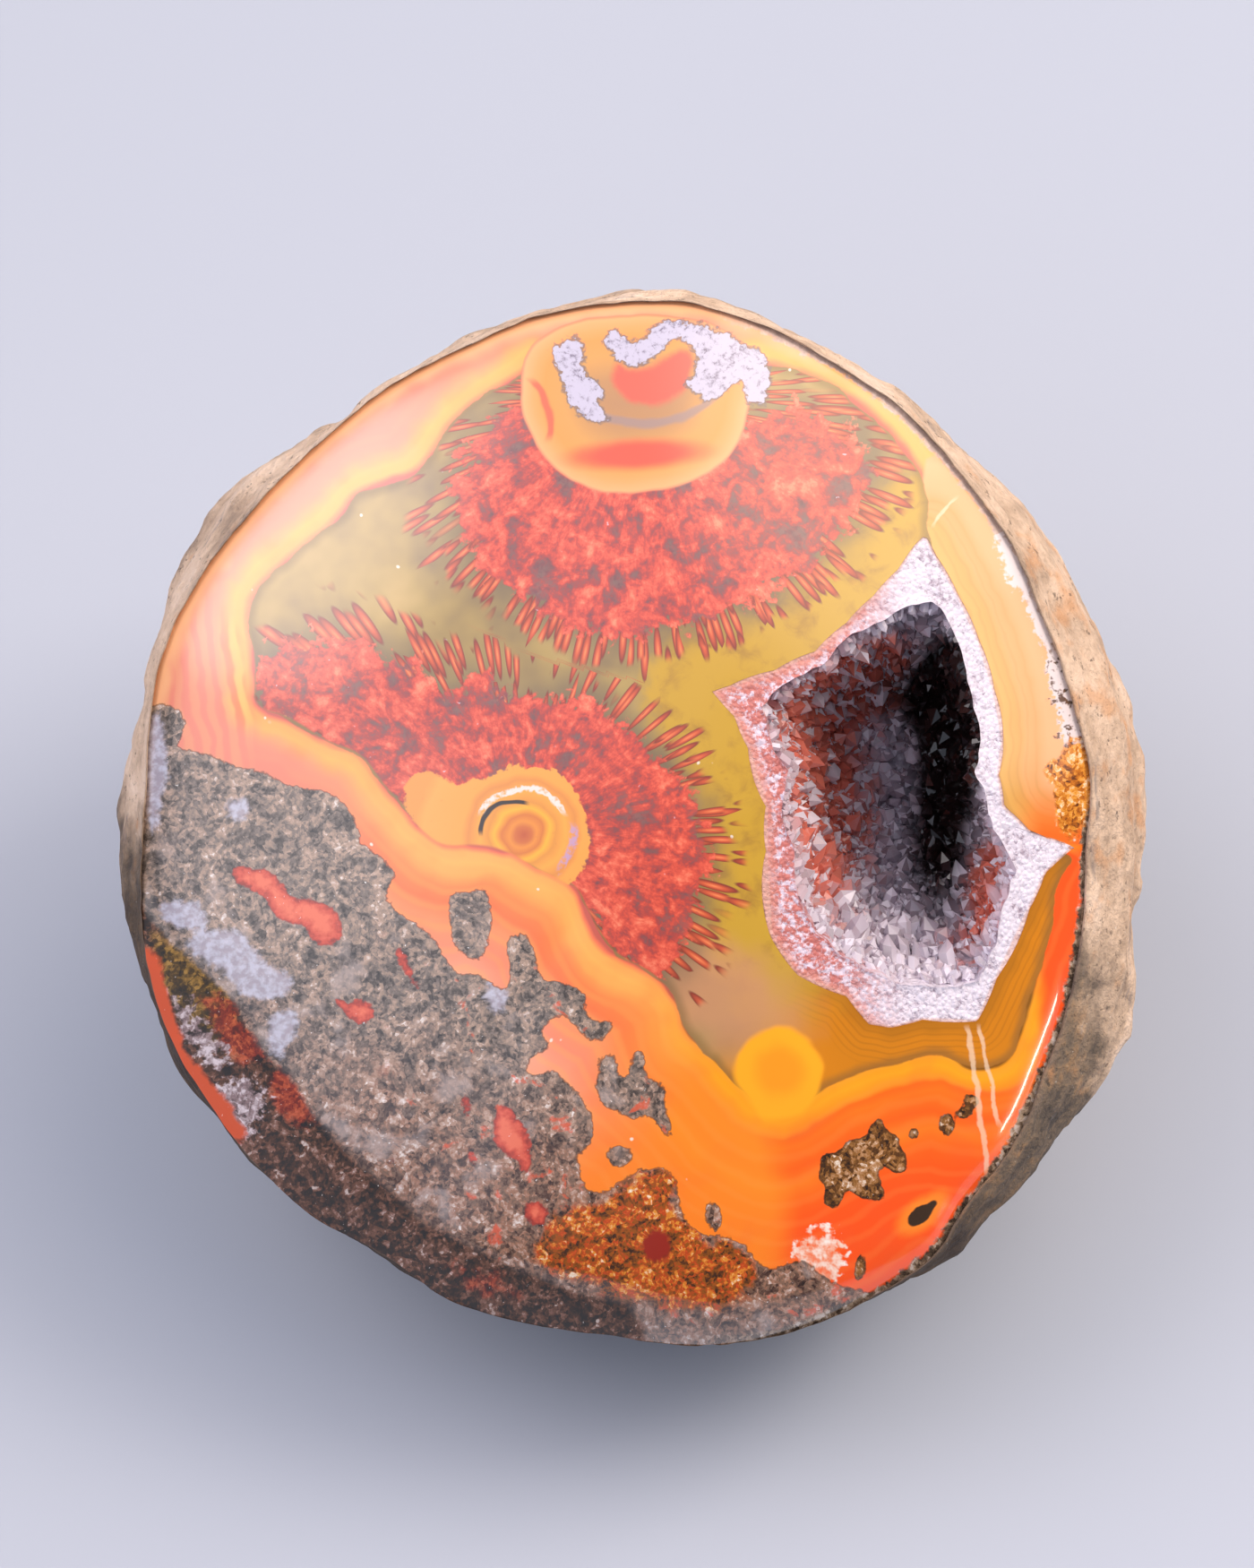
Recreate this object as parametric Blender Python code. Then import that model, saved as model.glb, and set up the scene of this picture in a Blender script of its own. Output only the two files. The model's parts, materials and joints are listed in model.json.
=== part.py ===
"""An agate nodule with one polished, domed face and a hollow lined with quartz.

The stone is a rounded nodule. One side is ground to a dome and polished, and the
rest keeps its rough rind. A hollow opens through the polished face, right of its
middle, and a crust of quartz crystals lines it. The stone lies on a small flat
spot on its back, so its face looks up and to the front.

Points of the face are worked out in three lengths: u to the right, v up the face
and w out of it. The picture is seen straight along w.
"""

import math
import random

import bmesh
import bpy
from mathutils import Matrix, Vector, noise

# Driving dimensions, in metres
FACE_WIDTH = 0.088        # polished face, side to side
DOME_HEIGHT = 0.010       # middle of the face above its rim
RIM_LEVEL = -0.004        # w of the rim where the dome has no shoulder
SHOULDER_ROUNDING = 0.0012
SHOULDER_SLOPE = 1.0      # fall of the ground slope past the shoulder, per length
WAIST_DROP = (0.013, 0.004)   # widest place behind the rim, at the top and at the low front
BACK_LEVEL = -0.055       # w of the back of the stone
UNDERCUT = 0.0012         # how far the front edge overhangs the rind below it
SWELLING = 0.0035         # bulge of the back that the stone comes to rest on
SWELLING_RADIUS = 0.012
SWELLING_V = -0.014       # its place below the middle of the back
LUMP_HEIGHT = 0.0010      # lumps and pits of the rind
LUMP_SIZE = 0.012
LEDGE_HEIGHT = 0.0004     # growth ledges that run round the rind
LEDGE_SPACING = 0.006
RIND_REACH = 0.010        # behind the rim, where the rind has its full roughness
BACK_ROUNDING = (0.95, 1.22)   # taper of the back, at the top and at the low front
HOLLOW_DEPTH = 0.029      # polished face to the agate at the hollow's floor
CUT_CLEARANCE = 0.004     # the cutter's top edge above the face
CRUST_FLOOR = 0.0035      # crust on the floor of the hollow
WALL_ROUGHNESS = 0.0005   # unevenness of the crust between its crystals
CRYSTAL_WIDTH = (0.0020, 0.0036)
CRYSTAL_LENGTH = (0.0022, 0.0040)
CRYSTAL_SPACING = 1.1     # distance of two crystals, in their mean width
CRYSTAL_COUNT = 94
CRYSTAL_ROOT = 0.0007     # how deep a crystal stands in the crust
CRYSTAL_PRISM = 0.6       # share of a crystal's length below its pointed end
CRYSTAL_LEAN = 0.35
CRYSTAL_SEED = 5
FACE_CLEARANCE = 0.0008   # crystal tips stay this far below the polished face
GAP = 0.0003              # clearance between the crust and the stone
FACE_TILT = math.radians(30.0)     # the face's middle from straight up
FACE_POINT = Vector((-0.0005, -0.0054, 0.0556))   # place of u = v = w = 0

# The picture's frame, in its pixels
PICTURE_MIDDLE = (700.0, 875.0)
FACE_WIDTH_PIXELS = 1056.0
VIEW_DISTANCE = 0.405     # from the eye to the plane w = 0
FACE_MIDDLE = (705.0, 920.0)
HOLLOW_MIDDLE = (990.0, 880.0)

# Edge of the polished face in the picture, clockwise from the top
FACE_RIM = (
    (700, 337), (780, 340), (860, 366), (935, 408), (1005, 455), (1070, 525),
    (1130, 610), (1165, 690), (1200, 790), (1218, 870), (1213, 950), (1209, 1030),
    (1195, 1112), (1167, 1197), (1129, 1283), (1080, 1344), (1044, 1401),
    (985, 1442), (900, 1482), (800, 1502), (682, 1492), (592, 1478), (500, 1450),
    (424, 1398), (350, 1358), (285, 1300), (238, 1238), (193, 1165), (165, 1080),
    (158, 1000), (162, 900), (168, 800), (185, 720), (230, 635), (290, 560),
    (350, 500), (425, 438), (500, 396), (600, 354),
)

# Outline of the whole stone in the picture, clockwise from the top
STONE_OUTLINE = (
    (730, 335), (830, 355), (940, 400), (1046, 481), (1127, 559), (1184, 633),
    (1237, 731), (1263, 820), (1269, 933), (1268, 1060), (1254, 1180), (1187, 1276),
    (1144, 1332), (1107, 1365), (1085, 1395), (1026, 1436), (950, 1471), (850, 1497),
    (750, 1502), (643, 1490), (546, 1471), (470, 1438), (393, 1390), (310, 1330),
    (238, 1245), (193, 1170), (160, 1085), (144, 1030), (138, 940), (148, 850),
    (165, 780), (172, 730), (200, 645), (258, 560), (330, 503), (390, 470),
    (455, 422), (545, 370), (650, 345),
)

# Edge between the agate and the crust on the face, clockwise from the upper point
HOLLOW_MOUTH = (
    (1033, 597), (1045, 620), (1070, 665), (1093, 715), (1110, 770), (1120, 825),
    (1115, 865), (1121, 900), (1150, 928), (1200, 944), (1182, 960), (1167, 974),
    (1149, 1015), (1113, 1091), (1091, 1140), (1030, 1138), (995, 1147),
    (970, 1143), (945, 1112), (890, 1088), (860, 1045), (855, 950), (855, 900),
    (835, 835), (820, 800), (795, 772), (815, 765), (865, 748), (910, 727),
    (945, 695), (975, 665), (1003, 635), (1022, 607),
)

# Inner edge of the crust's flat band, clockwise from the upper point
CRUST_MOUTH = (
    (1040, 672), (1063, 700), (1080, 760), (1093, 813), (1087, 860), (1108, 925),
    (1133, 969), (1119, 1020), (1091, 1094), (1000, 1098), (920, 1050), (890, 1000),
    (885, 950), (880, 860), (850, 790), (915, 745), (970, 700),
)

# Distance of the shoulder inside the rim, in metres, by angle in degrees
SHOULDER = (
    (0, 0.0), (186, 0.0), (197, 0.0038), (204, 0.0066), (222, 0.0068),
    (231, 0.0062), (243, 0.0050), (265, 0.0042), (285, 0.0017), (302, 0.0),
)

# Shift of the hollow's floor against its mouth: it runs back under the right edge
HOLLOW_LEAN = (0.0032, 0.0026)
CRUST_LEAN = (0.0030, 0.0025)

# Roundness of the walls: low stays wide for longer on the way down
HOLLOW_ROUNDING = 0.5
CRUST_ROUNDING = 0.75
MOUTH_SOFTENING = 0.6     # how far the mouth's points are rounded off at the floor

# Mesh divisions
STONE_SEGMENTS = 66
STONE_RINGS = 30
RIM_RING = 12             # ring of the stone that is its polished rim
WAIST_RING = 16
HOLLOW_SEGMENTS = 44
HOLLOW_RINGS = 12
CRUST_RINGS = 13
CRUST_MOUTH_RING = 6      # ring of the crust at its inner edge
CRUST_EDGE_RING = 8       # ring of the crust at its outer edge

AGATE_COLOUR = (0.72, 0.27, 0.08)
AGATE_ROUGHNESS = 0.12
QUARTZ_COLOUR = (0.78, 0.70, 0.76)
QUARTZ_ROUGHNESS = 0.15
SMOOTH_ANGLE = math.radians(35.0)

RIGHT = Vector((1.0, 0.0, 0.0))
UP_FACE = Vector((0.0, math.cos(FACE_TILT), math.sin(FACE_TILT)))
OUT_OF_FACE = Vector((0.0, -math.sin(FACE_TILT), math.cos(FACE_TILT)))


def to_world(u, v, w):
    """Place of a point of the face's own frame."""
    return FACE_POINT + u * RIGHT + v * UP_FACE + w * OUT_OF_FACE


def at_level(pixel, w):
    """The u and v at which a picture point meets the plane at level w."""
    metres_per_pixel = FACE_WIDTH / FACE_WIDTH_PIXELS
    nearness = 1.0 - w / VIEW_DISTANCE
    u = (pixel[0] - PICTURE_MIDDLE[0]) * metres_per_pixel * nearness
    v = (PICTURE_MIDDLE[1] - pixel[1]) * metres_per_pixel * nearness
    return u, v


def between(angle, table):
    """Value at an angle of a table of (angle, value), straight between its rows."""
    turned = angle % math.tau
    last_angle, last_value = table[-1][0] - math.tau, table[-1][1]
    for next_angle, next_value in table:
        if turned <= next_angle:
            part = (turned - last_angle) / (next_angle - last_angle)
            return last_value + part * (next_value - last_value)
        last_angle, last_value = next_angle, next_value
    part = (turned - last_angle) / (table[0][0] + math.tau - last_angle)
    return last_value + part * (table[0][1] - last_value)


def polar(outline, middle, level):
    """An outline of picture points as a sorted table of (angle, radius)."""
    table = []
    for pixel in outline:
        guess = math.atan2(middle[1] - pixel[1], pixel[0] - middle[0])
        w = level(guess)
        u, v = at_level(pixel, w)
        middle_u, middle_v = at_level(middle, w)
        angle = math.atan2(v - middle_v, u - middle_u) % math.tau
        table.append((angle, math.hypot(u - middle_u, v - middle_v)))
    return sorted(table)


SHOULDER_TABLE = [(math.radians(angle), inset) for angle, inset in SHOULDER]


def rim_level(angle):
    """w of the polished rim, lower where the ground slope falls to it."""
    return RIM_LEVEL - SHOULDER_SLOPE * between(angle, SHOULDER_TABLE)


def low_front(angle):
    """1 at the stone's low front, 0 at its sides and top."""
    return max(0.0, -math.sin(angle)) ** 1.5


def mixed(pair, angle):
    """A value that goes from its first at the top to its second at the low front."""
    return pair[0] + (pair[1] - pair[0]) * low_front(angle)


def waist_level(angle):
    """w of the stone's widest place."""
    return rim_level(angle) - mixed(WAIST_DROP, angle)


RIM = polar(FACE_RIM, FACE_MIDDLE, rim_level)
OUTLINE = polar(STONE_OUTLINE, FACE_MIDDLE, waist_level)
MIDDLE_U, MIDDLE_V = at_level(FACE_MIDDLE, 0.0)


def face_level(u, v):
    """w of the polished face: a dome whose lower left falls away past a shoulder."""
    angle = math.atan2(v - MIDDLE_V, u - MIDDLE_U)
    radius = math.hypot(u - MIDDLE_U, v - MIDDLE_V)
    rim_radius = between(angle, RIM)
    inset = between(angle, SHOULDER_TABLE)
    past = (radius - (rim_radius - inset)) / SHOULDER_ROUNDING
    fall = SHOULDER_ROUNDING * math.log1p(math.exp(min(past, 40.0)))
    dome = DOME_HEIGHT * (1.0 - (radius / rim_radius) ** 2)
    return RIM_LEVEL + dome - SHOULDER_SLOPE * fall


def on_face(pixel):
    """The u, v and w at which a picture point meets the polished face."""
    w = 0.0
    for _ in range(4):
        u, v = at_level(pixel, w)
        w = face_level(u, v)
    return u, v, w


HOLLOW_U, HOLLOW_V, HOLLOW_W = on_face(HOLLOW_MIDDLE)


def mouth_table(outline):
    """An outline on the polished face as a sorted table of (angle, radius)."""
    table = []
    for pixel in outline:
        u, v, _ = on_face(pixel)
        angle = math.atan2(v - HOLLOW_V, u - HOLLOW_U) % math.tau
        table.append((angle, math.hypot(u - HOLLOW_U, v - HOLLOW_V)))
    return sorted(table)


HOLLOW_TABLE = mouth_table(HOLLOW_MOUTH)
CRUST_TABLE = mouth_table(CRUST_MOUTH)
HOLLOW_MEAN = sum(radius for _, radius in HOLLOW_TABLE) / len(HOLLOW_TABLE)
CRUST_MEAN = sum(radius for _, radius in CRUST_TABLE) / len(CRUST_TABLE)


def wall_point(angle, down, mouth, mean, depth, lean, rounding):
    """A point of a hollow's wall, down from 0 at the mouth to 1 at its floor.

    The wall is steep at first and rounds in to the floor. The points of the mouth's
    outline soften towards its mean radius on the way, and the floor leans under the
    face.
    """
    turn = down * math.pi / 2.0
    sunk = math.sin(turn)
    radius = (mouth + (mean - mouth) * MOUTH_SOFTENING * sunk) * math.cos(turn) ** rounding
    u = HOLLOW_U + radius * math.cos(angle) + lean[0] * sunk
    v = HOLLOW_V + radius * math.sin(angle) + lean[1] * sunk
    edge_w = face_level(HOLLOW_U + mouth * math.cos(angle), HOLLOW_V + mouth * math.sin(angle))
    return u, v, edge_w + (HOLLOW_W - depth - edge_w) * sunk


def hollow_wall(angle, down, clearance=0.0):
    """A point of the hollow in the stone, or of the crust's back, which is clear of it."""
    mouth = between(angle, HOLLOW_TABLE) - clearance
    depth = HOLLOW_DEPTH - clearance
    return wall_point(angle, down, mouth, HOLLOW_MEAN, depth, HOLLOW_LEAN, HOLLOW_ROUNDING)


def crust_wall(angle, down):
    """A point of the crust's inner wall, without its crystals."""
    mouth = between(angle, CRUST_TABLE)
    depth = HOLLOW_DEPTH - CRUST_FLOOR
    return wall_point(angle, down, mouth, CRUST_MEAN, depth, CRUST_LEAN, CRUST_ROUNDING)


def stone_point(down, angle):
    """A point of the stone's skin, down from 0 at the face to 1 at the back."""
    ring = down * STONE_RINGS
    rim_radius = between(angle, RIM)
    if ring <= RIM_RING:
        radius = rim_radius * math.sin(ring / RIM_RING * math.pi / 2.0)
        u = MIDDLE_U + radius * math.cos(angle)
        v = MIDDLE_V + radius * math.sin(angle)
        return to_world(u, v, face_level(u, v))
    waist_radius = between(angle, OUTLINE) - UNDERCUT * low_front(angle)
    rim_w, waist_w = rim_level(angle), waist_level(angle)
    if ring <= WAIST_RING:
        part = (ring - RIM_RING) / (WAIST_RING - RIM_RING)
        radius = rim_radius + (waist_radius - rim_radius) * math.sin(part * math.pi / 2.0)
        w = rim_w + (waist_w - rim_w) * part
    else:
        part = (ring - WAIST_RING) / (STONE_RINGS - WAIST_RING)
        turn = part * math.pi / 2.0
        radius = waist_radius * math.cos(turn) ** mixed(BACK_ROUNDING, angle)
        w = waist_w + (BACK_LEVEL - waist_w) * math.sin(turn)
    u = MIDDLE_U + radius * math.cos(angle)
    v = MIDDLE_V + radius * math.sin(angle)
    if ring > WAIST_RING:
        from_swelling = (u ** 2 + (v - SWELLING_V) ** 2) / SWELLING_RADIUS ** 2
        w -= SWELLING * math.sin(turn) * math.exp(-from_swelling / 2.0)
    smooth = Vector((u, v, w))
    outward = Vector((u - MIDDLE_U, v - MIDDLE_V, w - RIM_LEVEL)).normalized()
    roughness = min(1.0, (rim_w - w) / RIND_REACH)
    lump = noise.noise(smooth / LUMP_SIZE) + 0.5 * noise.noise(smooth / LUMP_SIZE * 2.3)
    bend = 2.0 * noise.noise(smooth / (2.0 * LUMP_SIZE))
    ledge = math.sin(math.tau * w / LEDGE_SPACING + bend)
    rise = roughness * (LUMP_HEIGHT * lump + LEDGE_HEIGHT * ledge)
    return to_world(*(smooth + outward * rise))


def hollow_cut_point(down, angle):
    """A point of the cutter: a plug whose top stands clear of the face."""
    ring = down * HOLLOW_RINGS
    if ring < 1.0:
        return to_world(HOLLOW_U, HOLLOW_V, HOLLOW_W + 2.0 * CUT_CLEARANCE)
    if ring < 2.0:
        u, v, w = hollow_wall(angle, 0.0)
        return to_world(u, v, w + CUT_CLEARANCE)
    return to_world(*hollow_wall(angle, (ring - 2.0) / (HOLLOW_RINGS - 2.0)))


def crust_point(down, angle):
    """A point of the crust: up its inner wall, over its flat band, down its back."""
    ring = down * CRUST_RINGS
    if ring <= CRUST_MOUTH_RING:
        return to_world(*crust_wall(angle, 1.0 - ring / CRUST_MOUTH_RING))
    if ring < CRUST_EDGE_RING:
        inner = crust_wall(angle, 0.0)
        outer = hollow_wall(angle, 0.0, GAP)
        u, v = (inner[0] + outer[0]) / 2.0, (inner[1] + outer[1]) / 2.0
        return to_world(u, v, face_level(u, v))
    part = (ring - CRUST_EDGE_RING) / (CRUST_RINGS - CRUST_EDGE_RING)
    return to_world(*hollow_wall(angle, part, GAP))


def shaped_sphere(segments, rings, place, wall_ring=0):
    """A UV sphere whose points are moved to place(down, angle).

    Returned with it are its faces that lie above the ring wall_ring.
    """
    shape = bmesh.new()
    bmesh.ops.create_uvsphere(shape, u_segments=segments, v_segments=rings, radius=1.0)
    height = math.cos(wall_ring / rings * math.pi) - 1e-5
    wall = [face for face in shape.faces if min(vert.co.z for vert in face.verts) > height]
    for vertex in shape.verts:
        down = math.acos(max(-1.0, min(1.0, vertex.co.z))) / math.pi
        angle = math.atan2(vertex.co.y, vertex.co.x)
        vertex.co = place(round(down * rings) / rings, angle)
    shape.normal_update()
    return shape, wall


def roughen(shape, wall, draw):
    """Move the points of the crust's inner wall in and out a little."""
    for vertex in shape.verts:
        if all(face in wall for face in vertex.link_faces):
            vertex.co += vertex.normal * draw.uniform(-WALL_ROUGHNESS, WALL_ROUGHNESS)


def add_crystal(shape, base, axis, width, length, turn):
    """A six-sided crystal with a pointed end, standing on its base along its axis."""
    prism = length * CRYSTAL_PRISM
    stand = Matrix.Translation(base) @ axis.to_track_quat("Z", "Y").to_matrix().to_4x4()
    stand = stand @ Matrix.Rotation(turn, 4, "Z") @ Matrix.Translation((0.0, 0.0, prism / 2.0))
    made = bmesh.ops.create_cone(
        shape, cap_ends=True, segments=6, radius1=width / 2.0, radius2=width / 2.0,
        depth=prism, matrix=stand,
    )
    faces = {face for vertex in made["verts"] for face in vertex.link_faces}
    top = max(faces, key=lambda face: (face.calc_center_median() - base).dot(axis))
    tip = bmesh.ops.poke(shape, faces=[top])["verts"][0]
    tip.co += axis.normalized() * (length - prism)


def below_face(point):
    """How far a point lies under the polished face."""
    from_origin = point - FACE_POINT
    u, v = from_origin.dot(RIGHT), from_origin.dot(UP_FACE)
    return face_level(u, v) - from_origin.dot(OUT_OF_FACE)


def grown_crystals(draw):
    """Crystals all over the hollow's wall, each set apart from the ones before it."""
    shape = bmesh.new()
    lean_u, lean_v = CRUST_LEAN
    middle = to_world(HOLLOW_U + lean_u / 2.0, HOLLOW_V + lean_v / 2.0, HOLLOW_W - HOLLOW_DEPTH / 3.0)
    places = []
    while len(places) < CRYSTAL_COUNT:
        down = draw.uniform(0.0, 0.92) * CRUST_MOUTH_RING / CRUST_RINGS
        base = crust_point(down, draw.uniform(0.0, math.tau))
        lean = Vector(draw.uniform(-CRYSTAL_LEAN, CRYSTAL_LEAN) for _ in range(3))
        axis = ((middle - base).normalized() + lean).normalized()
        width, length = draw.uniform(*CRYSTAL_WIDTH), draw.uniform(*CRYSTAL_LENGTH)
        crowded = any(
            (base - other).length < CRYSTAL_SPACING * (width + other_width) / 2.0
            for other, other_width in places
        )
        if crowded or below_face(base + axis * length) < FACE_CLEARANCE:
            continue
        places.append((base, width))
        add_crystal(shape, base - axis * CRYSTAL_ROOT, axis, width, length, draw.uniform(0.0, 1.0))
    return shape


def new_object(name, shape, collection, material=None):
    """Put a shape into a mesh object of its own."""
    mesh = bpy.data.meshes.new(name)
    shape.to_mesh(mesh)
    shape.free()
    made = bpy.data.objects.new(name, mesh)
    collection.objects.link(made)
    if material:
        mesh.materials.append(material)
    return made


def new_cutter(name, shape, collection):
    """A shape that only cuts or joins, and isn't a part of its own."""
    cutter = new_object(name, shape, collection)
    cutter.hide_render = True
    cutter.display_type = "WIRE"
    return cutter


def add_boolean(target, tool, operation):
    """Cut or join exactly. Crystals that cross each other are joined too."""
    modifier = target.modifiers.new(tool.name, "BOOLEAN")
    modifier.operation = operation
    modifier.object = tool
    modifier.solver = "EXACT"
    modifier.use_self = operation == "UNION"


def new_material(name, colour, roughness):
    """A plain Principled material."""
    material = bpy.data.materials.new(name)
    material.use_nodes = True
    shader = material.node_tree.nodes["Principled BSDF"]
    shader.inputs["Base Color"].default_value = (*colour, 1.0)
    shader.inputs["Roughness"].default_value = roughness
    shader.inputs["Metallic"].default_value = 0.0
    return material


def build_stone(parts, cutters):
    """The nodule: its skin, with the hollow and the resting spot cut."""
    skin, _ = shaped_sphere(STONE_SEGMENTS, STONE_RINGS, stone_point)
    agate = new_material("agate", AGATE_COLOUR, AGATE_ROUGHNESS)
    stone = new_object("agate_nodule", skin, parts, agate)
    plug, _ = shaped_sphere(HOLLOW_SEGMENTS, HOLLOW_RINGS, hollow_cut_point)
    add_boolean(stone, new_cutter("hollow_cut", plug, cutters), "DIFFERENCE")
    ground = bmesh.new()
    below = Matrix.Translation((0.0, 0.0, -FACE_WIDTH))
    bmesh.ops.create_cube(ground, size=2.0 * FACE_WIDTH, matrix=below)
    add_boolean(stone, new_cutter("resting_cut", ground, cutters), "DIFFERENCE")
    stone.data.shade_smooth()
    stone.data.set_sharp_from_angle(angle=SMOOTH_ANGLE)


def build_crust(parts, cutters):
    """The crust of quartz: a rough lining with crystals grown all over it."""
    draw = random.Random(CRYSTAL_SEED)
    crust, wall = shaped_sphere(HOLLOW_SEGMENTS, CRUST_RINGS, crust_point, CRUST_MOUTH_RING)
    roughen(crust, set(wall), draw)
    quartz = new_material("quartz", QUARTZ_COLOUR, QUARTZ_ROUGHNESS)
    druse = new_object("quartz_druse", crust, parts, quartz)
    add_boolean(druse, new_cutter("grown_crystals", grown_crystals(draw), cutters), "UNION")


def main():
    """Clear the file, then build the two pieces."""
    for old in list(bpy.data.objects):
        bpy.data.objects.remove(old)
    parts = bpy.data.collections.new("agate_geode")
    cutters = bpy.data.collections.new("cutters")
    for collection in (parts, cutters):
        bpy.context.scene.collection.children.link(collection)
    build_stone(parts, cutters)
    build_crust(parts, cutters)


main()
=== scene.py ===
"""The looks of an agate geode: a banded, polished face, a rough rind and quartz in its hollow.

The stone's own shape is worked out in metres, in three lengths: u to the right, v up
the polished face and w out of it. A place in the face's pattern is given in millimetres
right of and above the middle of the picture, which is seen straight along w.
"""

import itertools
import json
import math

import bpy
import numpy as np
from bpy.props import FloatProperty, FloatVectorProperty, IntProperty, PointerProperty
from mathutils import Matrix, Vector, noise

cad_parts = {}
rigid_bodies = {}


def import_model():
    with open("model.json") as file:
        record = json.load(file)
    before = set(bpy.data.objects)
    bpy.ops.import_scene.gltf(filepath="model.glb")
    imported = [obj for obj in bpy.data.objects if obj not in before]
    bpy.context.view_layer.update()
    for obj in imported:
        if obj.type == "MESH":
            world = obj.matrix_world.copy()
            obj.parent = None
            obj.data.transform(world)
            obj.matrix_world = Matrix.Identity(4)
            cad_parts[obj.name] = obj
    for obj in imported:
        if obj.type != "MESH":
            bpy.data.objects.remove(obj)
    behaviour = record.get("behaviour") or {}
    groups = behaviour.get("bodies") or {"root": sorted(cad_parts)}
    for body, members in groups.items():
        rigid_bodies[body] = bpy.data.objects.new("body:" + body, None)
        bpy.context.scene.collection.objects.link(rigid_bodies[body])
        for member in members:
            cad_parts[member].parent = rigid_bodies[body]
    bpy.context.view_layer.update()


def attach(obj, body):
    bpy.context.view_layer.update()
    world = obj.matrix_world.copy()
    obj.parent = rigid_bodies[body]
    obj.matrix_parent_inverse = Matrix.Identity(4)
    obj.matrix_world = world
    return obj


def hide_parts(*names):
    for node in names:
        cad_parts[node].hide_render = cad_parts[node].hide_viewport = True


bl_info = {
    "name": "Agate Geode",
    "version": (1, 0, 0),
    "blender": (4, 5, 0),
    "location": "3D View > Sidebar > Geode",
    "description": "Builds a polished agate nodule with a hollow full of quartz",
    "category": "Add Mesh",
}

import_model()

# The solids' driving dimensions, in metres
FACE_WIDTH = 0.088
DOME_HEIGHT = 0.010
RIM_LEVEL = -0.004
SHOULDER_ROUNDING = 0.0012
SHOULDER_SLOPE = 1.0
WAIST_DROP = (0.013, 0.004)
BACK_LEVEL = -0.055
UNDERCUT = 0.0012
SWELLING = 0.0035
SWELLING_RADIUS = 0.012
SWELLING_V = -0.014
LUMP_HEIGHT = 0.0010
LUMP_SIZE = 0.012
LEDGE_HEIGHT = 0.0004
LEDGE_SPACING = 0.006
RIND_REACH = 0.010
BACK_ROUNDING = (0.95, 1.22)
HOLLOW_DEPTH = 0.029
CRUST_FLOOR = 0.0035
HOLLOW_LEAN = (0.0032, 0.0026)
CRUST_LEAN = (0.0030, 0.0025)
HOLLOW_ROUNDING = 0.5
CRUST_ROUNDING = 0.75
MOUTH_SOFTENING = 0.6
FACE_TILT = math.radians(30.0)
FACE_POINT = np.array((-0.0005, -0.0054, 0.0556))
SOLID_SEGMENTS = 66
SOLID_RINGS = 30
RIM_RING = 12
WAIST_RING = 16

# The picture's frame, in its pixels
PICTURE_MIDDLE = (700.0, 875.0)
FACE_WIDTH_PIXELS = 1056.0
VIEW_DISTANCE = 0.405
FACE_MIDDLE = (705.0, 920.0)
HOLLOW_MIDDLE = (990.0, 880.0)
PIXELS_PER_MM = 12.0

RIGHT = np.array((1.0, 0.0, 0.0))
UP_FACE = np.array((0.0, math.cos(FACE_TILT), math.sin(FACE_TILT)))
OUT_OF_FACE = np.array((0.0, -math.sin(FACE_TILT), math.cos(FACE_TILT)))

# Edge of the polished face in the picture, clockwise from the top
FACE_RIM = (
    (700, 337), (780, 340), (860, 366), (935, 408), (1005, 455), (1070, 525),
    (1130, 610), (1165, 690), (1200, 790), (1218, 870), (1213, 950), (1209, 1030),
    (1195, 1112), (1167, 1197), (1129, 1283), (1080, 1344), (1044, 1401),
    (985, 1442), (900, 1482), (800, 1502), (682, 1492), (592, 1478), (500, 1450),
    (424, 1398), (350, 1358), (285, 1300), (238, 1238), (193, 1165), (165, 1080),
    (158, 1000), (162, 900), (168, 800), (185, 720), (230, 635), (290, 560),
    (350, 500), (425, 438), (500, 396), (600, 354),
)

# Outline of the whole stone in the picture, clockwise from the top
STONE_OUTLINE = (
    (730, 335), (830, 355), (940, 400), (1046, 481), (1127, 559), (1184, 633),
    (1237, 731), (1263, 820), (1269, 933), (1268, 1060), (1254, 1180), (1187, 1276),
    (1144, 1332), (1107, 1365), (1085, 1395), (1026, 1436), (950, 1471), (850, 1497),
    (750, 1502), (643, 1490), (546, 1471), (470, 1438), (393, 1390), (310, 1330),
    (238, 1245), (193, 1170), (160, 1085), (144, 1030), (138, 940), (148, 850),
    (165, 780), (172, 730), (200, 645), (258, 560), (330, 503), (390, 470),
    (455, 422), (545, 370), (650, 345),
)

# Edge between the agate and the crust on the face, clockwise from the upper point
HOLLOW_MOUTH = (
    (1033, 597), (1045, 620), (1070, 665), (1093, 715), (1110, 770), (1120, 825),
    (1115, 865), (1121, 900), (1150, 928), (1200, 944), (1182, 960), (1167, 974),
    (1149, 1015), (1113, 1091), (1091, 1140), (1030, 1138), (995, 1147),
    (970, 1143), (945, 1112), (890, 1088), (860, 1045), (855, 950), (855, 900),
    (835, 835), (820, 800), (795, 772), (815, 765), (865, 748), (910, 727),
    (945, 695), (975, 665), (1003, 635), (1022, 607),
)

# Inner edge of the crust's flat band, clockwise from the upper point
CRUST_MOUTH = (
    (1040, 672), (1063, 700), (1080, 760), (1093, 813), (1087, 860), (1108, 925),
    (1133, 969), (1119, 1020), (1091, 1094), (1000, 1098), (920, 1050), (890, 1000),
    (885, 950), (880, 860), (850, 790), (915, 745), (970, 700),
)

# Distance of the shoulder inside the rim, in metres, by angle in degrees
SHOULDER = (
    (0, 0.0), (186, 0.0), (197, 0.0038), (204, 0.0066), (222, 0.0068),
    (231, 0.0062), (243, 0.0050), (265, 0.0042), (285, 0.0017), (302, 0.0),
)

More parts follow.
